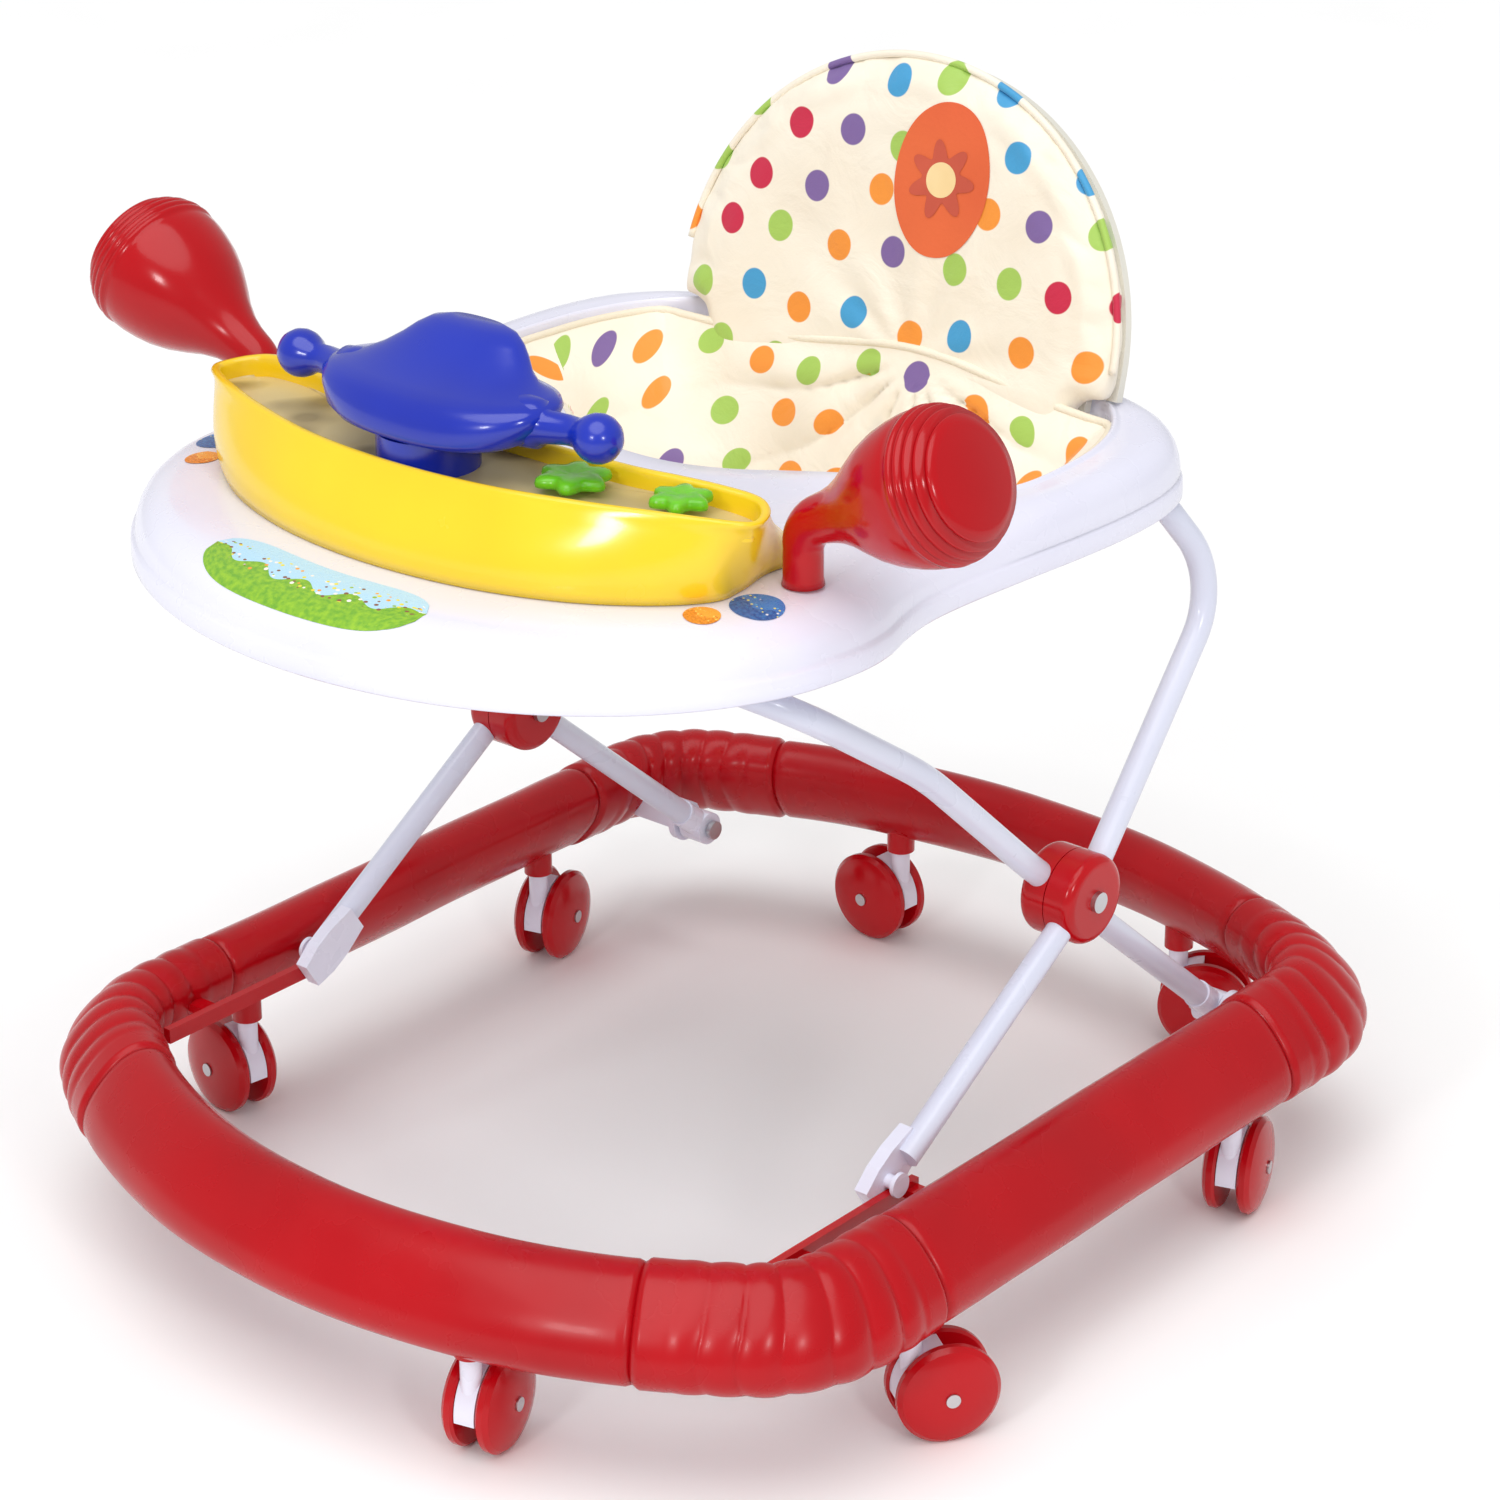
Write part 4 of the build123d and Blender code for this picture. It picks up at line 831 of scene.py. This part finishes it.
def held_to_outline(points):
    """The swollen pad's rim drawn back out to its sewn outline, which the piping holds in place."""
    local = points / MM - BACK_ORIGIN
    across, up = local[:, 0], local @ BACK_UP
    reach = np.hypot(across / 155, up / 150)
    heading = np.arctan2(up / 150, across / 155)
    bins = np.clip((heading / pi * 60).astype(int), 0, 59)
    upper = up > 0
    widest = np.array([reach[upper & (bins == b)].max() for b in range(60)])
    widest = np.convolve(np.pad(widest, 2, mode="edge"), np.full(5, 0.2), mode="valid")
    at_rim = np.interp(heading, (np.arange(60) + 0.5) / 60 * pi, widest)
    share = smoothstep(0.45, 1.0, reach / at_rim)
    grow = np.where(upper, 1 + (1 / at_rim - 1) * share, 1)
    side = 1 + (1 / widest[[0, -1]].mean() - 1) * smoothstep(60, 150, np.abs(across))
    across_new = across * np.where(upper, grow, side)
    up_new = up * grow
    return points + np.outer(across_new - across, (1, 0, 0)) * MM + np.outer(up_new - up, BACK_UP) * MM


def pad_folds(points):
    """Soft pulls in the backrest's face that run out from the middle of its foot."""
    local = points / MM - BACK_ORIGIN
    up = local @ BACK_UP
    front = smoothstep(-14, -6, local @ BACK_OUT)
    across = local[:, 0] - 25
    reach = np.hypot(across, up + 22)
    heading = np.arctan2(up + 22, across)
    fold = np.cos(heading * 11 + 0.6 * np.sin(heading * 5))
    amount = 2.4 * fold * smoothstep(6, 40, reach) * np.exp(-reach / 75) * front
    seam = -1.2 * np.exp(-((np.hypot(local[:, 0] / 150, up / 145) - 0.87) / 0.03) ** 2) * front * (up > 0)
    return points + (amount + seam)[:, None] * BACK_OUT * MM


coordinates = np.array([v.co[:] for v in pad.data.vertices])
pad.data.vertices.foreach_set("co", pad_folds(held_to_outline(coordinates)).ravel())
pad.data.polygons.foreach_set("use_smooth", [True] * len(pad.data.polygons))
pad.data.update()
smoother = pad.modifiers.new("subdivision", "SUBSURF")
smoother.levels = smoother.render_levels = 1

piping_path = on_back(back_outline(2.5, 220)[: int(220 * 0.54)], 7)
piping_rings = tube_rings(piping_path, [0.0022] * len(piping_path), 12, BACK_OUT)
loft("backrest_piping", piping_rings, PAD_CLOTH, "tray")

# A plain printed flower badge on the backrest's face


def badge_material(name, color, darker):
    material, tree, shader = node_material(name)
    place = add_node(tree, "ShaderNodeTexCoord").outputs["Object"]
    tree.links.new(shade_variation(tree, place, color, darker, 40.0), shader.inputs["Base Color"])
    noise_roughness(tree, shader, place, 0.45, 0.60, 50.0)
    noise_bump(tree, shader, place, 300.0, 0.1, 0.0005)
    return material


def on_pad(name, outline, centre, lift, material):
    """A thin printed shape laid on the backrest's face."""
    evaluated = pad.evaluated_get(bpy.context.evaluated_depsgraph_get())
    tree = BVHTree.FromObject(evaluated, bpy.context.evaluated_depsgraph_get())
    rings = []
    for scale in (1.0, 0.85, 0.65, 0.45, 0.25, 0.08):
        ring = []
        for x, up in outline * scale:
            flat = BACK_ORIGIN + np.array([centre[0] + x, 0, 0]) + (centre[1] + up) * BACK_UP
            point = (flat + 60 * BACK_OUT) * MM
            hit = tree.ray_cast(Vector(point), Vector(-BACK_OUT), 0.1)[0]
            ring.append(np.array(hit) + BACK_OUT * lift * MM)
        rings.append(np.array(ring))
    return loft(name, rings, material, "tray", cap_start=False)


OVAL_PRINT = plastic("badge_oval_print", (0.78, 0.16, 0.06), (0.70, 0.12, 0.05), rough=(0.45, 0.6), bump=0.1,
                     bump_scale=300.0, coat=0.0, specular=0.1)
FLOWER_PRINT = badge_material("badge_print", (0.62, 0.10, 0.05), (0.55, 0.085, 0.045))
CENTRE_PRINT = badge_material("badge_centre", (0.93, 0.72, 0.38), (0.88, 0.65, 0.32))
BADGE_AT = (26, 85)
turn = np.linspace(0, 2 * pi, 120, endpoint=False)
circle = np.column_stack([np.cos(turn), np.sin(turn)])
petals = circle * (18 + 4.875 * np.cos(7 * turn))[:, None]
bpy.context.view_layer.update()
on_pad("badge_oval", circle * (33, 44), BADGE_AT, 0.4, OVAL_PRINT)
on_pad("badge_flower", petals, BADGE_AT, 0.8, FLOWER_PRINT)
on_pad("badge_middle", circle * 10, BADGE_AT, 0.9, CENTRE_PRINT)

# ---------------------------------------------------------------- seat sling

SLING_ROWS, SLING_COLUMNS = 64, 320
HOLE_RADIUS, HOLE_Z = 38.0, 370.0
HOLE_START, HOLE_END = np.array([34.0, 30.0]), np.array([100.0, -110.0])
sling_rim = opening_raw - outward_normals(opening_raw) * 5


def even_loop(plan, count):
    """The same closed plan curve as evenly spaced points from the middle of its rear."""
    start = np.argmin(np.abs(plan[:, 0]) - plan[:, 1] * 10)
    plan = np.roll(plan, -start, axis=0)
    closed = np.concatenate([plan, plan[:1]])
    length = np.concatenate([[0], np.cumsum(np.linalg.norm(np.diff(closed, axis=0), axis=1))])
    at = np.linspace(0, length[-1], count, endpoint=False)
    return np.stack([np.interp(at, length, closed[:, k]) for k in range(2)], 1)


def level_plan(half_x, front, rear):
    a = np.linspace(0, 2 * pi, 720, endpoint=False)
    middle, half_y = (front + rear) / 2, (rear - front) / 2
    plan = np.column_stack([half_x * power(np.cos(a), 0.7), middle + half_y * power(np.sin(a), 0.7)])
    return even_loop(plan, SLING_COLUMNS)


def sling_levels():
    """Height and plan of the bucket's rim, its waist and its crotch."""
    rim_plan = even_loop(sling_rim, SLING_COLUMNS)
    rim_plan[:, 1] = np.minimum(rim_plan[:, 1], 147)
    return [(463, rim_plan), (400, level_plan(127, -39, 121)), (322, level_plan(58, -6, 88))]


def sling_points():
    """Rows of the bucket from its rim down to its crotch, and the cloth's own coordinates."""
    levels = sling_levels()
    rows = []
    for t in np.linspace(0, 1, SLING_ROWS):
        z = 463 - 141 * t
        if z >= 400:
            mix = (463 - z) / 63
            plan = levels[0][1] * (1 - mix) + levels[1][1] * mix
        else:
            mix = (400 - z) / 78
            plan = levels[1][1] * (1 - mix) + levels[2][1] * mix
        back = smoothstep(60, 135, plan[:, 1])
        lift = 16 * back * (1 - t) ** 2 * np.exp(-((plan[:, 0] - 30) / 80) ** 2)
        row = np.column_stack([plan, z + lift])
        row[:, 1] += 4 * back * (1 - t) ** 2
        rows.append(row)
    rows = np.array(rows)
    down = np.linalg.norm(np.diff(rows, axis=0), axis=2).mean(axis=1)
    v = -np.concatenate([[0], np.cumsum(down)])
    uvs = np.empty((SLING_ROWS, SLING_COLUMNS, 2))
    half = SLING_COLUMNS // 2
    # The front and rear are separate panels of cloth, each measured from its own middle.
    front_panel = np.abs(np.arange(SLING_COLUMNS) - half) < SLING_COLUMNS / 4
    for index, row in enumerate(rows):
        step = np.linalg.norm(np.diff(np.concatenate([row, row[:1]]), axis=0), axis=1)
        u = np.concatenate([[0], np.cumsum(step)[:-1]])
        total = step.sum()
        from_rear = np.where(np.arange(SLING_COLUMNS) > half, u - total, u)
        uvs[index, :, 0] = np.where(front_panel, u - total / 2 + 500, from_rear)
        uvs[index, :, 1] = v[index]
    return rows, uvs * MM


def fold_sling(rows):
    """Pulls in the cloth that fan out from the foot of the backrest, and slack elsewhere."""
    anchor = np.array([30, 147, 474])
    inward = np.zeros_like(rows)
    inward[..., :2] = np.array([0, 42]) - rows[..., :2]
    inward /= np.linalg.norm(inward, axis=2)[..., None]
    offset = rows - anchor
    reach = np.linalg.norm(offset, axis=2)
    heading = np.arctan2(offset[..., 2] + 0.25 * offset[..., 1], np.abs(offset[..., 0]) + 1)
    fan = np.abs(np.sin(heading * 8 + 0.5 * np.sin(reach / 30))) ** 0.6
    amount = 12.0 * (fan - 0.6) * np.exp(-reach / 170) * smoothstep(4, 40, reach)
    around = np.arctan2(rows[..., 1] - 42, rows[..., 0])
    slack = 3.0 * np.sin(around * 7 + 1.1 * np.sin(rows[..., 2] / 28))
    slack += 1.2 * np.sin(around * 17 + rows[..., 2] / 17)
    depth = np.linspace(0, 1, SLING_ROWS)[:, None]
    away = smoothstep(0.0, 0.15, depth)
    return rows + inward * ((amount + slack) * away * (1 - 0.6 * depth))[..., None]


sling_rows, sling_uv = sling_points()
sling_rows = fold_sling(sling_rows)
floor_rows, floor_uv = [], []
for t in np.linspace(0.1, 0.97, 10):
    rim_row = sling_rows[-1]
    middle = rim_row.mean(axis=0)
    ring = rim_row * (1 - t) + middle * t
    ring[:, 2] = rim_row[:, 2] + 0.5 - 2 * smoothstep(0, 1, t)
    floor_rows.append(ring)
    floor_uv.append(ring[:, :2] * MM)
sling_vertices = np.concatenate([sling_rows, np.array(floor_rows)]).reshape(-1, 3)
all_uv = np.concatenate([sling_uv, np.array(floor_uv)]).reshape(-1, 2)


def hole_offset(points):
    """Vectors from the leg holes' axes to points, and the points' distance along the axes."""
    along = (HOLE_END - HOLE_START) / np.linalg.norm(HOLE_END - HOLE_START)
    local = np.column_stack([np.abs(points[:, 0]), points[:, 1]]) - HOLE_START
    reach = local @ along
    across = local @ np.array([-along[1], along[0]])
    return across, points[:, 2] - HOLE_Z, reach


across, rise, reach = hole_offset(sling_vertices)
distance = np.hypot(across, rise)
in_hole = (distance < HOLE_RADIUS) & (reach > 10)
all_faces = grid_faces(SLING_ROWS + 10, SLING_COLUMNS)
kept = [face for face in all_faces if not all(in_hole[list(face)])]
rim_vertices = sorted({v for face in kept for v in face if in_hole[v]})
for v in rim_vertices:
    along = (HOLE_END - HOLE_START) / np.linalg.norm(HOLE_END - HOLE_START)
    shift = across[v] * (HOLE_RADIUS / distance[v] - 1)
    sign = 1 if sling_vertices[v, 0] > 0 else -1
    sling_vertices[v, 0] += sign * shift * -along[1]
    sling_vertices[v, 1] += shift * along[0]
    sling_vertices[v, 2] += rise[v] * (HOLE_RADIUS / distance[v] - 1)
sling = make_object("seat_cloth", sling_vertices * MM, kept, SLING_CLOTH, "tray", ["seat_sling"], uvs=all_uv)
loose = bmesh.new()
loose.from_mesh(sling.data)
bmesh.ops.delete(loose, geom=[v for v in loose.verts if not v.link_faces], context="VERTS")
loose.to_mesh(sling.data)
loose.free()
thickness = sling.modifiers.new("thickness", "SOLIDIFY")
thickness.thickness = 0.0022
thickness.offset = 0


def plan_length(plan):
    return np.linalg.norm(np.roll(plan, -1, axis=0) - plan, axis=1).sum() * MM


def strip_slope(upper, lower, drop):
    """Mean length down the cloth between two level plans that are drop apart in height."""
    return np.hypot(np.linalg.norm(upper - lower, axis=1), drop).mean() * MM


# The cut: two tapered bands and a crotch piece, less the two leg holes, before anything is folded.
CROTCH_HALF_X, CROTCH_HALF_Y = 0.058, 0.047
cut_levels = sling_levels()
cut_slopes = [
    strip_slope(upper, lower, upper_z - lower_z)
    for (upper_z, upper), (lower_z, lower) in zip(cut_levels, cut_levels[1:])
]
# A hole is round across its axis, so on the slanting lower wall it is longer by the wall's slope.
hole_slant = cut_slopes[1] / ((cut_levels[1][0] - cut_levels[2][0]) * MM)
cut_lengths = [plan_length(plan) for _, plan in cut_levels]
cut_area = sum((cut_lengths[k] + cut_lengths[k + 1]) / 2 * cut_slopes[k] for k in range(2))
cut_area += pi * CROTCH_HALF_X * CROTCH_HALF_Y - 2 * pi * (HOLE_RADIUS * MM) ** 2 * hole_slant


def hem_points(side):
    """The edge of one leg hole, in order, from the vertices that were moved onto it."""
    ids = [v for v in rim_vertices if (sling_vertices[v, 0] > 0) == (side > 0)]
    heading = np.arctan2(rise[ids], across[ids])
    return sling_vertices[np.array(ids)[np.argsort(heading)]]


def closed_tube(points, radius, sides=10):
    """Rings of a closed tube through points in space."""
    loop = closed_spline(points, 160)
    tangents = np.roll(loop, -1, axis=0) - np.roll(loop, 1, axis=0)
    tangents /= np.linalg.norm(tangents, axis=1)[:, None]
    centre = loop.mean(axis=0)
    rings = []
    for point, tangent in zip(loop, tangents):
        side = point - centre
        side -= tangent * (side @ tangent)
        side /= np.linalg.norm(side)
        other = np.cross(tangent, side)
        a = np.linspace(0, 2 * pi, sides, endpoint=False)
        rings.append(point + radius * (np.outer(np.cos(a), side) + np.outer(np.sin(a), other)))
    return rings


def tube_loop(name, points, radius, material, body):
    rings = closed_tube(points, radius)
    faces = grid_faces(len(rings), len(rings[0]), closed_rows=True)
    return make_object(name, np.concatenate(rings) * MM, faces, material, body)


HEM_CLOTH = plastic("hem_cloth", (0.90, 0.83, 0.68), (0.84, 0.76, 0.60), rough=(0.5, 0.7), bump=0.3,
                    bump_scale=700.0, coat=0.0)
for side, label in ((1, "left"), (-1, "right")):
    points = hem_points(side)
    tube_loop(f"leg_hole_hem_{label}", points[:: max(1, len(points) // 40)], 2.4, HEM_CLOTH, "tray")
tube_loop("seat_top_hem", sling_rows[0][::8], 2.6, HEM_CLOTH, "tray")

# ---------------------------------------------------------------- stickers


def sticker_material(name, sky, ground, spots):
    """Printed scene: a hill line in front of the sky, and scattered spots of colour."""
    material, tree, shader = node_material(name)
    coordinate = add_node(tree, "ShaderNodeTexCoord").outputs["UV"]
    split = add_node(tree, "ShaderNodeSeparateXYZ")
    tree.links.new(coordinate, split.inputs[0])
    phase = math_node(tree, "MULTIPLY", split.outputs[0], 9.0)
    wave = math_node(tree, "MULTIPLY", math_node(tree, "SINE", phase), 0.10)
    line = math_node(tree, "ADD", wave, 0.48)
    hill = math_node(tree, "LESS_THAN", split.outputs[1], line)
    mix = add_node(tree, "ShaderNodeMix", data_type="RGBA")
    tree.links.new(hill, mix.inputs["Factor"])
    mix.inputs["A"].default_value = (*sky, 1)
    tree.links.new(shade_variation(tree, coordinate, ground[0], ground[1], 14.0), mix.inputs["B"])
    cells = add_node(tree, "ShaderNodeTexVoronoi")
    cells.inputs["Scale"].default_value = 11.0
    tree.links.new(coordinate, cells.inputs["Vector"])
    near = math_node(tree, "LESS_THAN", cells.outputs["Distance"], 0.30)
    band = math_node(tree, "MULTIPLY", math_node(tree, "GREATER_THAN", split.outputs[1], 0.35),
                     math_node(tree, "LESS_THAN", split.outputs[1], 0.80))
    palette = add_node(tree, "ShaderNodeValToRGB")
    palette.color_ramp.interpolation = "CONSTANT"
    while len(palette.color_ramp.elements) < len(spots):
        palette.color_ramp.elements.new(0.5)
    for index, (element, color) in enumerate(zip(palette.color_ramp.elements, spots)):
        element.position = index / len(spots)
        element.color = (*color, 1)
    tree.links.new(cells.outputs["Color"], palette.inputs["Fac"])
    top = add_node(tree, "ShaderNodeMix", data_type="RGBA")
    tree.links.new(math_node(tree, "MULTIPLY", near, band), top.inputs["Factor"])
    tree.links.new(mix.outputs["Result"], top.inputs["A"])
    tree.links.new(palette.outputs["Color"], top.inputs["B"])
    tree.links.new(top.outputs["Result"], shader.inputs["Base Color"])
    noise_roughness(tree, shader, coordinate, 0.22, 0.34, 9.0)
    noise_bump(tree, shader, coordinate, 30.0, 0.04, 0.001)
    return material


def edge_sticker(name, centre_x, half_span, inset_low, inset_high, material):
    """A long sticker that follows the tray's front edge."""
    columns, rows = 60, 12
    verts, uvs = [], []
    index_at = lambda x: np.interp(x, tray_outline[order, 0], order_index)
    for r in range(rows):
        for c in range(columns):
            s = 2 * c / (columns - 1) - 1
            x = centre_x + half_span * s
            squeeze = sqrt(max(0.0, 1 - abs(s) ** 5))
            middle = (inset_low + inset_high) / 2
            inset = middle + (inset_high - inset_low) * (r / (rows - 1) - 0.5) * squeeze
            point = tray_surface_point(index_at(x), inset)
            i = index_at(x)
            low, high = tray_surface_point(np.floor(i), inset), tray_surface_point(np.floor(i) + 1, inset)
            point = low * (1 - i % 1) + high * (i % 1)
            verts.append((point + (0, 0, 0.35)) * MM)
            uvs.append(((s + 1) * 1.6, r / (rows - 1)))
    return make_object(name, verts, grid_faces(rows, columns, False), material, "tray", uvs=uvs)


signed = np.where(tray_outline[:, 1] < -150)[0]
unwrapped = np.where(signed > TRAY_COUNT / 2, signed - TRAY_COUNT, signed)
sorting = np.argsort(tray_outline[signed, 0])
order, order_index = signed[sorting], unwrapped[sorting]
edge_sticker("sticker_scene", -6, 84, 8, 47, sticker_material(
    "scene_print", (0.45, 0.72, 0.92), ((0.30, 0.55, 0.03), (0.16, 0.40, 0.03)),
    [(0.85, 0.35, 0.04), (0.25, 0.10, 0.05), (0.90, 0.85, 0.80), (0.80, 0.70, 0.05), (0.30, 0.50, 0.06)]))


def round_sticker(name, x, y, radius, material):
    rings, uvs = [], []
    turn = np.linspace(0, 2 * pi, 40, endpoint=False)
    for scale in (1.0, 0.66, 0.33, 0.05):
        ring = []
        for a in turn:
            px, py = x + radius * scale * cos(a), y + radius * scale * sin(a)
            gap = np.min(np.linalg.norm(tray_outline - (px, py), axis=1))
            ring.append((px, py, np.interp(gap, crown_insets, crown_heights) + 0.4))
            uvs.append((0.5 + 0.5 * scale * cos(a), 0.5 + 0.5 * scale * sin(a)))
        rings.append(np.array(ring) * MM)
    return loft(name, rings, material, "tray", cap_start=False, uvs=uvs)


ORANGE_PRINT = sticker_material("orange_print", (0.88, 0.38, 0.06), ((0.85, 0.30, 0.04), (0.60, 0.20, 0.03)),
                                [(0.95, 0.75, 0.2), (0.55, 0.12, 0.03), (0.92, 0.5, 0.12)])
BLUE_PRINT = sticker_material("blue_print", (0.05, 0.20, 0.55), ((0.04, 0.16, 0.45), (0.02, 0.08, 0.30)),
                              [(0.7, 0.75, 0.85), (0.85, 0.75, 0.15), (0.1, 0.4, 0.75), (0.02, 0.08, 0.3)])
for side, label in ((1, "left"), (-1, "right")):
    round_sticker(f"sticker_orange_{label}", side * 177, -213, 9.5, ORANGE_PRINT)
    round_sticker(f"sticker_blue_{label}", side * 190, -186, 14, BLUE_PRINT)

# ---------------------------------------------------------------- floor, light and camera


def floor_material():
    material, tree, shader = node_material("pale_floor")
    place = add_node(tree, "ShaderNodeTexCoord").outputs["Object"]
    tree.links.new(shade_variation(tree, place, (0.96, 0.96, 0.96), (0.95, 0.95, 0.95), 3.0),
                   shader.inputs["Base Color"])
    noise_roughness(tree, shader, place, 0.6, 0.75, 6.0)
    return material


floor_mesh = bpy.data.meshes.new("floor")
floor_mesh.from_pydata([(-6, -6, 0), (6, -6, 0), (6, 8, 0), (-6, 8, 0)], [], [(0, 1, 2, 3)])
floor = bpy.data.objects.new("floor", floor_mesh)
bpy.context.scene.collection.objects.link(floor)
floor_mesh.materials.append(floor_material())


def area_light(name, place, target, size, watts, color=(1, 1, 1)):
    data = bpy.data.lights.new(name, "AREA")
    data.shape = "RECTANGLE"
    data.size, data.size_y = size
    data.energy = watts
    data.color = color
    lamp = bpy.data.objects.new(name, data)
    lamp.location = place
    lamp.rotation_euler = (Vector(target) - Vector(place)).to_track_quat("-Z", "Y").to_euler()
    bpy.context.scene.collection.objects.link(lamp)
    return lamp


def sun_light(name, direction, strength, spread):
    data = bpy.data.lights.new(name, "SUN")
    data.energy = strength
    data.angle = radians(spread)
    lamp = bpy.data.objects.new(name, data)
    lamp.rotation_euler = Vector(direction).to_track_quat("-Z", "Y").to_euler()
    bpy.context.scene.collection.objects.link(lamp)


sun_light("overhead", (-0.15, 0.35, -1.0), 1.75, 60)
area_light("flash_left", (0.5, -2.6, 1.5), (0, 0, 0.35), (0.35, 0.35), 11)
area_light("flash_right", (2.3, -1.3, 1.5), (0, 0, 0.35), (0.35, 0.35), 10)

world = bpy.data.worlds.new("studio")
bpy.context.scene.world = world
world.use_nodes = True
world.node_tree.nodes["Background"].inputs["Color"].default_value = (1, 1, 1, 1)
world.node_tree.nodes["Background"].inputs["Strength"].default_value = 0.55
bpy.context.scene.view_settings.view_transform = "Standard"

camera_data = bpy.data.cameras.new("camera")
camera_data.lens = 106.68
camera_data.sensor_width = 36
camera = bpy.data.objects.new("camera", camera_data)
camera.location = (1.4970, -1.7569, 1.2879)
camera.rotation_euler = (radians(90 - 23.73), 0, radians(39.86))
bpy.context.scene.collection.objects.link(camera)
bpy.context.scene.camera = camera
